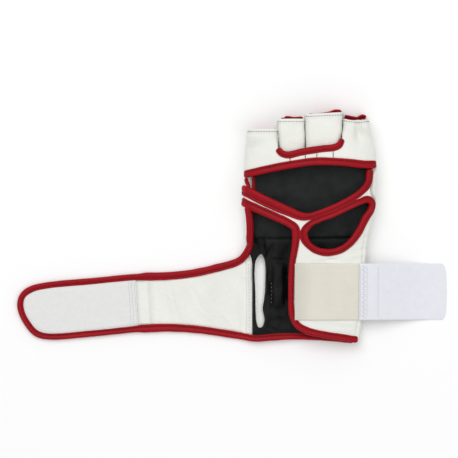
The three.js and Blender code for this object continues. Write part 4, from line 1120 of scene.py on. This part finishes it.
class GLOVE_OT_fingers(bpy.types.Operator):
    """Cuts the finger band and bends the loops over the fingers"""

    bl_idname = "glove.fingers"
    bl_label = "Finger band and loops"

    def execute(self, context):
        form = Form()
        threads = []
        self.band(form, threads)
        for number in (1, 2):
            self.loop(form, number, threads)
        sewn("finger_stitches", threads, form, "grey_thread", "white_leather")
        self.tacks(form)
        return {"FINISHED"}

    def band(self, form, threads):
        bent = (1 - signed_power(np.cos(np.pi * np.linspace(0, 1, 46)), 0.8)) / 2
        middle = np.linspace(0.006, 0.994, 70)
        finger = np.concatenate([np.zeros(len(bent), int), np.full(len(middle), 9), np.full(len(bent), 3)])
        share = np.concatenate([bent, middle, bent])[None]
        station = np.linspace(0, 1, 130)[:, None]
        little, index = finger[None] == 0, finger[None] == 3
        _, little_from, little_to, _, _, little_crest = FINGERS[0]
        _, index_from, index_to, _, _, index_crest = FINGERS[3]
        tip = np.where(little, little_from + (little_to - little_from) * share, FINGERS[2][2])
        tip = np.where(index, index_from + (index_to - index_from) * share, tip)
        dip = np.where(index, INDEX_DIP * np.sin(np.pi * share) * station, 0)
        along = 0.7 + (tip - 0.7) * station - dip
        row = form.rows(along)
        y = form.y_of(along)
        left, right = row.middle - row.half, row.middle + row.half
        inner_left = form.finger_sides(0, along)[1] - form.loop_gap / 2
        inner_right = form.finger_sides(3, along)[0] + form.loop_gap / 2
        x = inner_left + (inner_right - inner_left) * share
        x = np.where(little, left + (inner_left - left) * share, x)
        x = np.where(index, inner_right + (right - inner_right) * share, x)
        flat = form.palm_height(x, y)
        side = np.where(little, row.left_side, row.right_side)
        foot = np.minimum(side, row.pad + form.gap)
        outside = (little & (share < 0.5)) | (index & (share > 0.5))
        base = np.where(outside, side, foot)
        crest = np.where(little, little_crest, index_crest) * form.glove_depth
        square = np.where((little & (share > 0.5)) | (index & (share < 0.5)), CREASED_SQUARENESS, LOOP_SQUARENESS)
        reach = (1 - np.abs(2 * share - 1) ** square) ** (1 / square)
        slot_end = np.where(little, FINGER_SLOT_EDGE[0][1], FINGER_SLOT_EDGE[-1][1])
        blend = np.where(little | index, ease(along, slot_end, slot_end + ARCH_RUN), 0)
        z = flat + (base + (crest - base) * reach - flat) * blend + form.gap
        dimple = 5.0 * bump(np.hypot((x - form.x_of(0.862)) / 3.4, (y - form.y_of(0.905)) / 9.0), 1.0)
        z = z - dimple * index
        outer = grid_of(x, y, z)
        seams = (len(bent), len(bent) + len(middle))
        normal = np.concatenate([normals_of(part) for part in np.split(outer, seams, axis=1)], axis=1)
        to_tip = (form.y_of(tip) - y) * (little | index) + 99 * ~(little | index)
        lower = form.flat_line(FINGER_BAND_EDGE)
        slot = form.flat_line(FINGER_SLOT_EDGE, 0.6)
        bound = np.vstack([lower, slot[::-1]])
        away = edge_distance(outer, bound)
        outer = outer - normal * (0.5 * (1 - ease(away, 2.2, 4.6)))[..., None]
        relief = leather_relief(x, y, 2.0, 0.36) * ease(away, 3.2, 6.0) + hem(to_tip, form)
        raised = outer + normal * np.clip(relief, -0.9, 0.6)[..., None]
        inner = outer - normal * form.leather
        inner[:, 0] = outer[:, 0] + (form.leather, 0, 0)
        inner[:, -1] = outer[:, -1] - (form.leather, 0, 0)
        raised[:, 0], raised[:, -1] = outer[:, 0], outer[:, -1]
        centre_x, centre_y, _ = np.moveaxis(cell_centres(outer), -1, 0)
        keep = centre_y > np.interp(centre_x, lower[:, 0], lower[:, 1])
        between = centre_x > form.valley_x(0, centre_y / form.hand_length) - form.loop_gap / 2
        between &= centre_x < form.valley_x(2, centre_y / form.hand_length) + form.loop_gap / 2
        high = outer[..., 1]
        far_edge = np.maximum(np.maximum(high[:-1, :-1], high[:-1, 1:]), np.maximum(high[1:, :-1], high[1:, 1:]))
        keep &= ~(between & (far_edge > np.interp(centre_x, slot[:, 0], slot[:, 1]) + 0.2))
        made = piece("finger_band_seen", shell(raised, inner, keep, bound, 1.2), form, "white_leather", ["finger_band"])
        for columns in (slice(4, 43), slice(119, 158)):  # the little and the index finger
            row_number = int(np.argmin(np.abs(to_tip[:, columns.start + 15] - form.seam_inset)))
            line, up = raised[row_number, columns], normal[row_number, columns]
            threads.extend(stitch_run(line, up, form, **HEM_STITCH))

    def loop(self, form, number, threads):
        name, tip_from, tip_to, _, _, crest_share = FINGERS[number]
        turn = np.linspace(0, 1, 76)[None]
        station = np.linspace(0, 1, 70)[:, None]
        angle = np.pi * turn
        share = (1 - signed_power(np.cos(angle), 0.8)) / 2
        reach = (1 - np.abs(2 * share - 1) ** CREASED_SQUARENESS) ** (1 / CREASED_SQUARENESS)
        root, tip = form.y_of(LOOP_ROOT), form.y_of(tip_from + (tip_to - tip_from) * share)
        y = root + (tip - root) * station
        foot = form.rows(y / form.hand_length).pad + form.gap
        crest = crest_share * form.glove_depth - 1.2 * (1 - station)
        left, right = form.finger_sides(number, y / form.hand_length)
        x = left + form.loop_gap / 2 + (right - left - form.loop_gap) * share
        z = foot + (crest - foot) * reach
        outer = grid_of(x, y, z)
        normal = normals_of(outer)
        relief = leather_relief(x + 0 * y, y, 3.0 + number, 0.34) + hem(tip - y, form)
        raised = outer + normal * np.clip(relief, -0.9, 0.5)[..., None]
        mesh = shell(raised, outer - normal * form.leather)
        made = piece(f"{name}_loop_seen", mesh, form, "white_leather", [f"{name}_loop"])
        row_number = int(np.argmin(np.abs((tip - y)[:, 38] - form.seam_inset)))
        line, up = raised[row_number, 8:-8], normal[row_number, 8:-8]
        threads.extend(stitch_run(line, up, form, **HEM_STITCH))

    def tacks(self, form):
        """The four short stitches that hold the leather strip between the two bindings."""
        lower = form.flat_line(FINGER_BAND_EDGE)
        slot = form.flat_line(FINGER_SLOT_EDGE, 0.6)
        parts = []
        for across in TACKS:
            x = float(form.x_of(across))
            start = np.interp(x, lower[:, 0], lower[:, 1]) + 0.5 * form.binding_width
            end = np.interp(x, slot[:, 0], slot[:, 1]) - 0.45 * form.binding_width
            y = np.linspace(start - 0.4, end + 0.4, 12)
            line = np.stack([np.full(12, x), y, form.palm_height(x, y) + form.gap + 0.25], 1)
            up = np.tile(UP, (12, 1))
            parts += stitch_run(line, up, form, SINGLE, length=float(end - start), radius=0.3)
        need(len(parts) == len(TACKS), "a tack stitch has no room")
        sewn("tack_stitches", parts, form, "dark_thread", "white_leather")


class GLOVE_OT_palm(bpy.types.Operator):
    """Cuts the palm leather round the thumb hole and the arm between the palm's two bindings"""

    bl_idname = "glove.palm"
    bl_label = "Palm leather"

    def execute(self, context):
        form = Form()
        turn = np.linspace(0.02, 1, 150)[None]
        along = np.linspace(0.0, 0.66, 150)[:, None]
        outer = form.palm_point(turn, along, 0.0)
        inner = form.palm_point(turn, along, form.leather)
        x, y = outer[..., 0], outer[..., 1]
        normal = normals_of(outer)
        creases = self.creases(form, x, y)
        wrist = form.flat_line(WRIST_OPENING_EDGE)
        turn_at = np.argmin(np.abs(wrist[:, 1] - form.y_of(WRIST_OPENING_EDGE[WRIST_TURN][1])))
        thumb = form.flat_line(THUMB_HOLE_EDGE + THUMB_HOLE_EDGE[:1])
        thumb_side = int(np.argmax(thumb[:, 0]))
        far = form.x_of(1) + 0.1 * form.hand_width
        corners = [[far, wrist[-1, 1]], [far, thumb[thumb_side, 1]]]
        outline = np.vstack([wrist[turn_at:], corners, thumb[thumb_side:]])
        keep = inside(cell_centres(outer), outline)
        away = edge_distance(outer, densified(outline, 1.0))
        relief = (leather_relief(x, y, 1.0, 0.42) + 1.6 * creases) * ease(away, 3.0, 6.0)
        relief = relief - 0.5 * (1 - ease(away, 2.2, 4.6))
        shift = normal * relief[..., None]
        mesh = shell(outer + shift, inner + shift, keep, outline)
        made = piece("palm_panel_seen", mesh, form, "white_leather", ["palm_panel"])
        self.arms(form, wrist, thumb[:thumb_side])
        return {"FINISHED"}

    def arms(self, form, wrist, thumb_top):
        """The two arms of leather between the bindings, from the little finger's side to the back's rim."""
        opening = form.flat_line(PALM_OPENING_EDGE)
        beyond = wrist[:, 0] < form.x_of(0.3)
        wrist_end = int(np.argmin(np.abs(wrist[:, 1] - form.y_of(0.46)) + 99 * beyond))
        rim_along = np.linspace(PALM_OPENING_EDGE[-1][1], 0.6, 30)
        rim = form.back_point(2.0, rim_along, form.side_wall, lambda row: row.pad)[:, :2] - (form.gap, 0)
        outline = np.vstack([opening, rim, thumb_top[::-1], wrist[:wrist_end][::-1]])
        turn = np.linspace(0.03, 0.97, 220)[None]
        along = np.linspace(0.44, 0.745, 96)[:, None]
        tucked = UP * (2.6 * ease(along, 0.67, 0.73))[..., None]
        outer = form.palm_point(turn, along, 0.1) - tucked
        inner = form.palm_point(turn, along, form.leather) - tucked
        keep = inside(cell_centres(outer), outline)
        mesh = shell(outer, inner, keep, outline, 1.2)
        arm = piece("palm_neck_seen", mesh, form, "white_leather", ["palm_neck"])

    def creases(self, form, x, y):
        """Soft creases of the palm near the thumb side, above the elastic, and the side seam."""
        depth = 0
        for across, along, lean, reach, rise in PALM_CREASES:
            down, off = turned(x - form.x_of(across), y - form.y_of(along), lean)
            depth = depth + rise * bump(off, 1.3) * bump(down, reach)
        row = form.rows(y / form.hand_length)
        seam = row.middle + row.half - 3.2
        return depth - 0.55 * bump(x - seam, 0.8) * ease(row.half + row.middle - x, 0.3, 2.0)


class GLOVE_OT_back(bpy.types.Operator):
    """Pads the back of the hand and the finger pads"""

    bl_idname = "glove.back"
    bl_label = "Padded back"

    def execute(self, context):
        form = Form()
        lane = form.lanes(110, 8)[None]
        along = np.linspace(0.0, 1.0, 160)[:, None]
        outer = form.back_point(lane, along, 0.0, lambda row: 0.0)
        inner = form.back_point(lane, along, form.side_wall, lambda row: row.pad)
        keep, target = form.back_cut(cell_centres(inner))
        low = bump(outer[..., 2], 3.0)
        outer[..., 2] += low * (0.6 + self.seams(form, outer[..., 0], outer[..., 1]))
        mesh = shell(inner, outer, keep, target)
        made = piece("back_panel_seen", mesh, form, "white_leather", ["back_panel"], BACK_ANGLE)
        self.swell(context, form, made)
        return {"FINISHED"}

    def swell(self, context, form, made):
        """Lets the padding swell by a short run of cloth between the seams, no lower than the floor."""
        data = made.data
        start = np.empty(len(data.vertices) * 3)
        data.vertices.foreach_get("co", start)
        start = start.reshape(-1, 3)
        hand = start / MM - form.origin
        row = form.rows(hand[:, 1] / form.hand_length)
        loose = ease(row.pad * 0.5 - hand[:, 2], 0.0, 2.0)
        loose = loose * ease(row.half - np.abs(hand[:, 0] - row.middle), 1.0, 4.0)
        loose *= 1 - np.clip(self.seams(form, hand[:, 0], hand[:, 1]) / 1.5, 0, 1)
        group = made.vertex_groups.new(name="sewn")
        for level in range(11):
            held = np.flatnonzero(np.round((1 - loose) * 10) == level)
            if len(held):
                group.add(held.tolist(), level / 10, "REPLACE")
        cloth = made.modifiers.new("padding", "CLOTH")
        cloth.settings.vertex_group_mass = "sewn"
        cloth.settings.use_pressure = True
        cloth.settings.uniform_pressure_force = 4
        cloth.settings.effector_weights.gravity = 0
        for number in range(1, form.sim_frames + 1):
            context.scene.frame_set(number)
        evaluated = made.evaluated_get(context.evaluated_depsgraph_get()).data
        ended = np.empty(len(start) * 3)
        evaluated.vertices.foreach_get("co", ended)
        moved = (ended.reshape(-1, 3) - start) * loose[:, None]
        far = np.linalg.norm(moved, axis=1, keepdims=True)
        need(np.isfinite(far).all(), "the padding's cloth run failed")
        moved *= np.minimum(1, 1.5 * MM / np.maximum(far, 1e-9))
        start += moved
        start[:, 2] = np.maximum(start[:, 2], 0)
        made.modifiers.remove(cloth)
        made.vertex_groups.remove(group)
        context.scene.frame_set(1)
        data.vertices.foreach_set("co", start.ravel())
        data.update()

    def seams(self, form, x, y):
        """How far the quilted back's seams are drawn in: across the knuckles and the wrist, and to each valley."""
        drawn = 0
        for along in (0.36, 0.6, 0.78):
            drawn = np.maximum(drawn, bump(y - form.y_of(along) - 0.0006 * x * x, 1.7))
        for number in range(len(VALLEYS)):
            line = form.valley_x(number, y / form.hand_length)
            reach = ease(y, form.y_of(0.6), form.y_of(0.63))
            drawn = np.maximum(drawn, bump(x - line, 1.7) * reach)
        return 1.5 * drawn


class GLOVE_OT_lining(bpy.types.Operator):
    """Lines the inside with black cloth, with the slot, the seam and the padded roll"""

    bl_idname = "glove.lining"
    bl_label = "Black lining"

    def execute(self, context):
        form = Form()
        lane = form.lanes(150, 8)[None]
        along = np.linspace(0.0, LOOP_ROOT, 190)[:, None]
        rise = form.gap + form.lining_wall
        covering = (1 - ease(along, 0.41, 0.45)) * (1 - ease(lane, 0.2, 0.5))
        inset = form.side_wall * (1 - 0.9 * covering)

        def floor(row):
            return row.pad + covering * np.maximum(0, row.left_side - row.pad)

        under = form.back_point(lane, along, inset + form.gap, lambda row: floor(row) + form.gap)
        over = form.back_point(lane, along, inset + rise, lambda row: floor(row) + rise)
        x, y = over[..., 0], over[..., 1]
        over[..., 2] += self.relief(form, x, y)
        centre = cell_centres(over)
        keep, target = form.back_cut(centre)
        beside = centre[..., 0] < form.x_of(SIDE_GAP_ACROSS)
        keep &= ~(beside & (centre[..., 1] > form.y_of(0.61)) & (centre[..., 1] < form.y_of(0.74)))
        made = piece("lining_seen", shell(over, under, keep, target), form, "black_lining", ["lining"])
        self.finger_linings(form)
        line_x = form.x_of(0.205) + 0.6 * np.sin(np.linspace(0, 3, 60))
        line_y = np.linspace(form.y_of(0.27), form.y_of(0.16), 60)
        row = form.rows(line_y / form.hand_length)
        line = np.stack([line_x, line_y, row.pad + rise + 0.35 + self.relief(form, line_x, line_y)], 1)
        threads = stitch_run(line, np.tile(UP, (60, 1)), form, pitch=3.4, length=1.3, radius=0.26)
        sewn("lining_stitches", threads, form, "grey_thread", "black_lining")
        return {"FINISHED"}

    def relief(self, form, x, y):
        sideways = (x - form.x_of(ROLL_PLACE[0])) / (ROLL_SIZE[0] * form.hand_width / 2)
        lengthways = (y - form.y_of(ROLL_PLACE[1])) / (ROLL_SIZE[1] * form.hand_length / 2)
        roll = np.maximum(0, 1 - np.abs(sideways) ** 3) * np.maximum(0, 1 - lengthways**6)
        seam = bump(y - form.y_of(LINING_SEAM_ALONG), 0.9)
        folds = 1.4 * ripple(x, y * 0.4, 12, 4.0) * (1 - ease(y, form.y_of(0.4), form.y_of(0.5)))
        for across, place, turn, reach, rise in LINING_FOLDS:
            off, down = turned(x - form.x_of(across), y - form.y_of(place), turn)
            folds = folds + 1.3 * rise * bump(off, 1.2) * bump(down, reach)
        inner = ease(x, form.x_of(0.03), form.x_of(0.1)) * (1 - ease(x, form.x_of(0.9), form.x_of(0.97)))
        lower = form.flat_line(BACK_LOWER_EDGE)
        inner = inner * ease(y - np.interp(x, lower[:, 0], lower[:, 1]), 3.0, 8.0)
        uneven = 0.35 * ripple(x, y, 16, 6.0) + folds
        return np.maximum(0, form.roll_height * roll + (uneven - 1.3 * seam + 1.3) * inner)

    def finger_linings(self, form):
        """Black cloth on top of each finger's pad."""
        parts = []
        for number, (_, _, _, pad_from, pad_to, _) in enumerate(FINGERS):
            share = np.linspace(0, 1, 26)[None]
            station = np.linspace(0, 1, 40)[:, None]
            end = pad_from + (pad_to - pad_from) * share - 0.012
            if number in (1, 2):  # the cloth shows beside the red edge in the left corner of these two
                end = end + 0.019 * (1 - ease(share, 0.12, 0.3))
            along = LOOP_ROOT + 0.004 + (end - LOOP_ROOT - 0.004) * station
            left, right = form.finger_sides(number, along)
            inset = form.finger_slit / 2 + form.leather + 0.6
            x = left + inset + (right - left - 2 * inset) * share
            z = form.rows(along).pad + form.gap + form.lining_wall + 0 * x
            top = grid_of(x, form.y_of(along), z)
            parts.append(shell(top, top - (0, 0, form.lining_wall)))
        made = piece("finger_linings", merged(parts), form, "black_lining")


class GLOVE_OT_strap(bpy.types.Operator):
    """Cuts the wrist strap, its loop patch and the seam at its root"""

    bl_idname = "glove.strap"
    bl_label = "Strap and patch"

    def execute(self, context):
        form = Form()
        made, area = self.sheet(form, "strap_panel_seen", 0.0, 0.0, form.strap_wall, (210, 86), "white_leather")
        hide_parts("strap_panel")
        start = 1 - form.patch_length / form.strap_length - PATCH_OVERLAP
        lift = form.gap + form.patch_wall
        patch, patch_area = self.sheet(
            form, "strap_patch_seen", start, lift, form.patch_wall, (110, 80), "loop_patch"
        )
        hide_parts("strap_patch")
        self.root_seam(form)
        self.patch_stitches(form, start)
        return {"FINISHED"}

    def sheet(self, form, name, start, lift, wall, counts, finish):
        """A sheet cut to the strap's outline, from its tip to a start, with its area."""
        outline = form.strap_outline()
        columns, rows = counts
        x = np.linspace(form.strap_x(0.995), form.strap_x(start), columns)[None]
        y = np.linspace(form.strap_y(-0.62), form.strap_y(1.06), rows)[:, None]
        x, y = np.broadcast_arrays(x, y)
        if lift:  # the patch's sewn end leans
            x = x - PATCH_LEAN * (y - form.y_of(STRAP_MIDDLE_ALONG)) * np.linspace(0, 1, columns)[None]
        away = edge_distance(np.stack([x, y], -1), outline)
        away = np.where(x > form.x_of(STRAP_ROOT_ACROSS) - 6, 9, away)
        loose = ease(away, 2.4, 5.0)
        relief = self.relief(form, x, y) * (0.35 if lift else 1.0)
        top = form.strap_wall - 1.3 * (1 - loose) + (form.strap_top(x) - form.strap_wall + relief) * loose + lift
        outer = np.stack([x, y, top], -1)
        bottom = np.maximum(0.02, top - wall) if lift else 0.02 + 0 * top
        inner = np.stack([x, y, bottom], -1)
        keep = inside(cell_centres(outer), outline)
        made = piece(name, shell(outer, inner, keep, outline), form, finish)
        return made, sheet_area(outer, keep)

    def relief(self, form, x, y):
        """Soft folds of the strap: a raised hem beside the patch, a fold beyond it and slack towards the root."""
        out = (form.x_of(STRAP_ROOT_ACROSS) - x) / form.strap_length
        lean = out - (y - form.y_of(STRAP_MIDDLE_ALONG)) * PATCH_LEAN / form.strap_length
        raised = 1.5 * ease(lean, 0.425, 0.439) * (1 - ease(lean, 0.476, 0.486))
        dip = -1.5 * bump(lean - 0.408, 0.018) - 0.9 * bump(lean - 0.365, 0.03)
        free = 1 - ease(out, 0.36, 0.44)
        slack = 1.2 * ripple(x, y * 0.6, 26, 8.0) * free
        for place, over, turn, reach, rise in STRAP_WRINKLES:
            off, down = turned(x - form.strap_x(place), y - form.strap_y(over), turn)
            off = off + 0.03 * down * np.sin(down * 0.12)
            slack = slack + rise * bump(off, 1.5) * bump(down, reach)
        return raised + dip + slack

    def root_seam(self, form):
        """The narrow strip that covers the seam between strap and hand, sewn along its middle."""
        y = np.linspace(form.y_of(0.046), form.y_of(0.352), 120)[:, None]
        over = np.linspace(-1, 1, 14)[None]
        x = form.x_of(STRAP_ROOT_ACROSS) - 2.1 + 0.4 * np.sin(y * 0.05) + 2.7 * over
        z = form.strap_wall + 1.5 * (1 - over**4) - 0.5 * bump(over, 0.25)
        outer = grid_of(x, y, z)
        inner = outer * (1, 1, 0) + (0, 0, form.strap_wall - 0.3)
        made = piece("strap_seam", shell(outer, inner), form, "white_leather")
        line = np.stack([x[:, 7], y[:, 0], np.full(len(y), form.strap_wall + 1.0)], 1)
        parts = stitch_run(line, np.tile(UP, (len(y), 1)), form, pitch=2.8, length=1.8)
        sewn("strap_seam_stitches", parts, form, "white_thread", "white_leather")

    def patch_stitches(self, form, start):
        """Close columns of stitches that hold the root end of the patch."""
        parts = []
        for column in range(3):
            x = float(form.strap_x(start + 0.006 + 0.012 * column))
            y = np.linspace(form.strap_y(-0.36), form.strap_y(0.44), 60)
            leaning = x - PATCH_LEAN * (y - form.y_of(STRAP_MIDDLE_ALONG))
            height = float(form.strap_top(x)) + form.gap + form.patch_wall + 0.05
            line = np.stack([leaning, y, np.full(60, height)], 1)
            parts += stitch_run(line, np.tile(UP, (60, 1)), form, **TAPE_STITCH)
        sewn("patch_stitches", parts, form, "white_thread", "loop_patch")


class GLOVE_OT_closure(bpy.types.Operator):
    """Weaves the elastic and the hook tab that is sewn to its end"""

    bl_idname = "glove.closure"
    bl_label = "Elastic and hook tab"

    def execute(self, context):
        form = Form()
        x = np.linspace(form.elastic_start, form.elastic_end - form.gap, 84)[None]
        y = np.linspace(form.elastic_low, form.elastic_high, 90)[:, None]
        x, y = np.broadcast_arrays(x, y)
        edge = np.minimum(y - form.elastic_low, form.elastic_high - y)
        rolled = 0.35 * (1 - ease(edge, 0.0, 1.2))
        wave = 0.22 * ripple(x, y * 0.6, 34, 9.0)
        base = form.elastic_top(x, y)
        outer = np.stack([x, y, base + wave - rolled], -1)
        inner = np.stack([x, y, base - form.elastic_wall + wave], -1)
        made = piece("elastic_band_seen", shell(outer, inner), form, "cream_elastic", ["elastic_band"])
        self.tab(form)
        return {"FINISHED"}

    def tab_top(self, form, x, y):
        """The tab's upper face, as it comes down from the elastic to the floor."""
        start = form.elastic_top(form.elastic_end - form.gap, y)
        fall = ease((x - form.elastic_end) / form.tab_length, 0, TAB_LANDING)
        return start + (form.tab_wall - start) * fall

    def tab(self, form):
        """The hook tab with its rounded end, and the stitches that hold it to the elastic."""
        end = form.elastic_end + form.tab_length
        share = np.linspace(0, 1, 130)[None]
        y = np.linspace(form.elastic_low, form.elastic_high, 90)[:, None]
        corner = form.tab_corner
        from_end = np.minimum(y - form.elastic_low, form.elastic_high - y)
        pull = corner * 0.45 * (1 - np.sqrt(np.clip(1 - (1 - np.clip(from_end / corner, 0, 1)) ** 2, 0, 1)))
        pull = pull + 1.3 * (np.abs(y - form.elastic_middle) / (form.elastic_width / 2)) ** 2
        right = end + corner / 8 - pull
        x = form.elastic_end + (right - form.elastic_end) * share
        y = y + 0 * x
        base = self.tab_top(form, x, y)
        edge = np.minimum(np.minimum(y - form.elastic_low, form.elastic_high - y), right - x)
        rolled = 0.45 * (1 - ease(edge, 0.0, 1.0))
        step = 0.35 * (1 - ease(x - form.elastic_end, 17.0, 18.5))
        outer = np.stack([x, y, base - rolled + step], -1)
        inner = np.stack([x, y, np.maximum(0.0, base - form.tab_wall)], -1)
        made = piece("hook_tab_seen", shell(outer, inner), form, "hook_tape", ["hook_tab"])
        run = np.linspace(form.elastic_low + 1.2, form.elastic_high - 1.2, 60)
        lines = [(np.full(60, form.elastic_end + offset), run, TAPE_STITCH) for offset in (1.2, 7.0, 17.0)]
        zigzag = np.linspace(form.elastic_low + 1.5, form.elastic_high - 1.5, 24)
        for number, (first, second) in enumerate(zip(zigzag, zigzag[1:])):
            ends = (2.2, 6.0) if number % 2 else (6.0, 2.2)
            length = 0.8 * float(np.hypot(3.8, second - first))
            stitch = {**TAPE_STITCH, "pitch": SINGLE, "length": length}
            lines.append((form.elastic_end + np.linspace(*ends, 8), np.linspace(first, second, 8), stitch))
        parts = []
        for at_x, at_y, stitch in lines:
            line = np.stack([at_x, at_y, self.tab_top(form, at_x, at_y) + 0.4], 1)
            parts += stitch_run(line, np.tile(UP, (len(line), 1)), form, **stitch)
        sewn("tab_stitches", parts, form, "white_thread", "hook_tape")


class GLOVE_OT_stage(bpy.types.Operator):
    """Lays the pale ground and sets up the soft light and the camera"""

    bl_idname = "glove.stage"
    bl_label = "Ground, light and camera"

    def execute(self, context):
        form = Form()
        bpy.ops.object.select_all(action="DESELECT")
        bpy.ops.mesh.primitive_plane_add(size=6.0, location=(0, 0, 0))
        ground = context.active_object
        ground.name = "ground"
        made, tree = new_material("white_paper")  # an even pale sheet that keeps soft shadows faint
        finished(tree, Base_Color=(*context.scene.glove_colours.ground, 1.0), Roughness=0.9)
        ground.data.materials.append(made)
        world = bpy.data.worlds.new("studio")
        world.use_nodes = True
        world.node_tree.nodes["Background"].inputs["Color"].default_value = (1.0, 1.0, 1.0, 1.0)
        world.node_tree.nodes["Background"].inputs["Strength"].default_value = 0.58
        context.scene.world = world
        for name, place, energy, width in (
            ("key_light", (-0.4, 0.9, 1.95), 21.0, 1.7),
            ("fill_light", (1.0, -0.5, 1.9), 8.0, 1.6),
        ):
            light = bpy.data.lights.new(name, "AREA")
            light.energy = energy
            light.size = width
            lamp = bpy.data.objects.new(name, light)
            lamp.location = place
            lamp.rotation_euler = (-Vector(place)).to_track_quat("-Z", "Y").to_euler()
            context.collection.objects.link(lamp)
        camera = bpy.data.cameras.new("camera")
        camera.sensor_width = 36.0
        camera.lens = camera.sensor_width * (form.camera_height - PICTURE_LEVEL) / form.view_width
        camera.clip_end = 20.0
        eye = bpy.data.objects.new("camera", camera)
        eye.location = (-0.0018, -0.0006, form.camera_height * MM)
        context.collection.objects.link(eye)
        context.scene.camera = eye
        context.scene.view_settings.view_transform = "Standard"
        return {"FINISHED"}


OPERATORS = (
    GLOVE_OT_back,
    GLOVE_OT_lining,
    GLOVE_OT_palm,
    GLOVE_OT_fingers,
    GLOVE_OT_strap,
    GLOVE_OT_closure,
    GLOVE_OT_bindings,
    GLOVE_OT_stage,
)


class GLOVE_PT_panel(bpy.types.Panel):
    """The glove's pieces, sizes and colours"""

    bl_label = "Grappling glove"
    bl_idname = "GLOVE_PT_panel"
    bl_space_type = "VIEW_3D"
    bl_region_type = "UI"
    bl_category = "Glove"

    def draw(self, context):
        layout = self.layout
        for operator in OPERATORS:
            layout.operator(operator.bl_idname)
        for group in (context.scene.glove_sizes, context.scene.glove_colours):
            column = layout.column(align=True)
            for name in group.__annotations__:
                column.prop(group, name)


CLASSES = (GLOVE_PG_sizes, GLOVE_PG_colours, *OPERATORS, GLOVE_PT_panel)


def register():
    for kind in CLASSES:
        bpy.utils.register_class(kind)
    bpy.types.Scene.glove_sizes = PointerProperty(type=GLOVE_PG_sizes)
    bpy.types.Scene.glove_colours = PointerProperty(type=GLOVE_PG_colours)


def unregister():
    del bpy.types.Scene.glove_colours
    del bpy.types.Scene.glove_sizes
    for kind in reversed(CLASSES):
        bpy.utils.unregister_class(kind)


def main():
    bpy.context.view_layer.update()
    register()
    for operator in OPERATORS:
        group, name = operator.bl_idname.split(".")
        getattr(getattr(bpy.ops, group), name)()


if __name__ == "__main__":
    main()
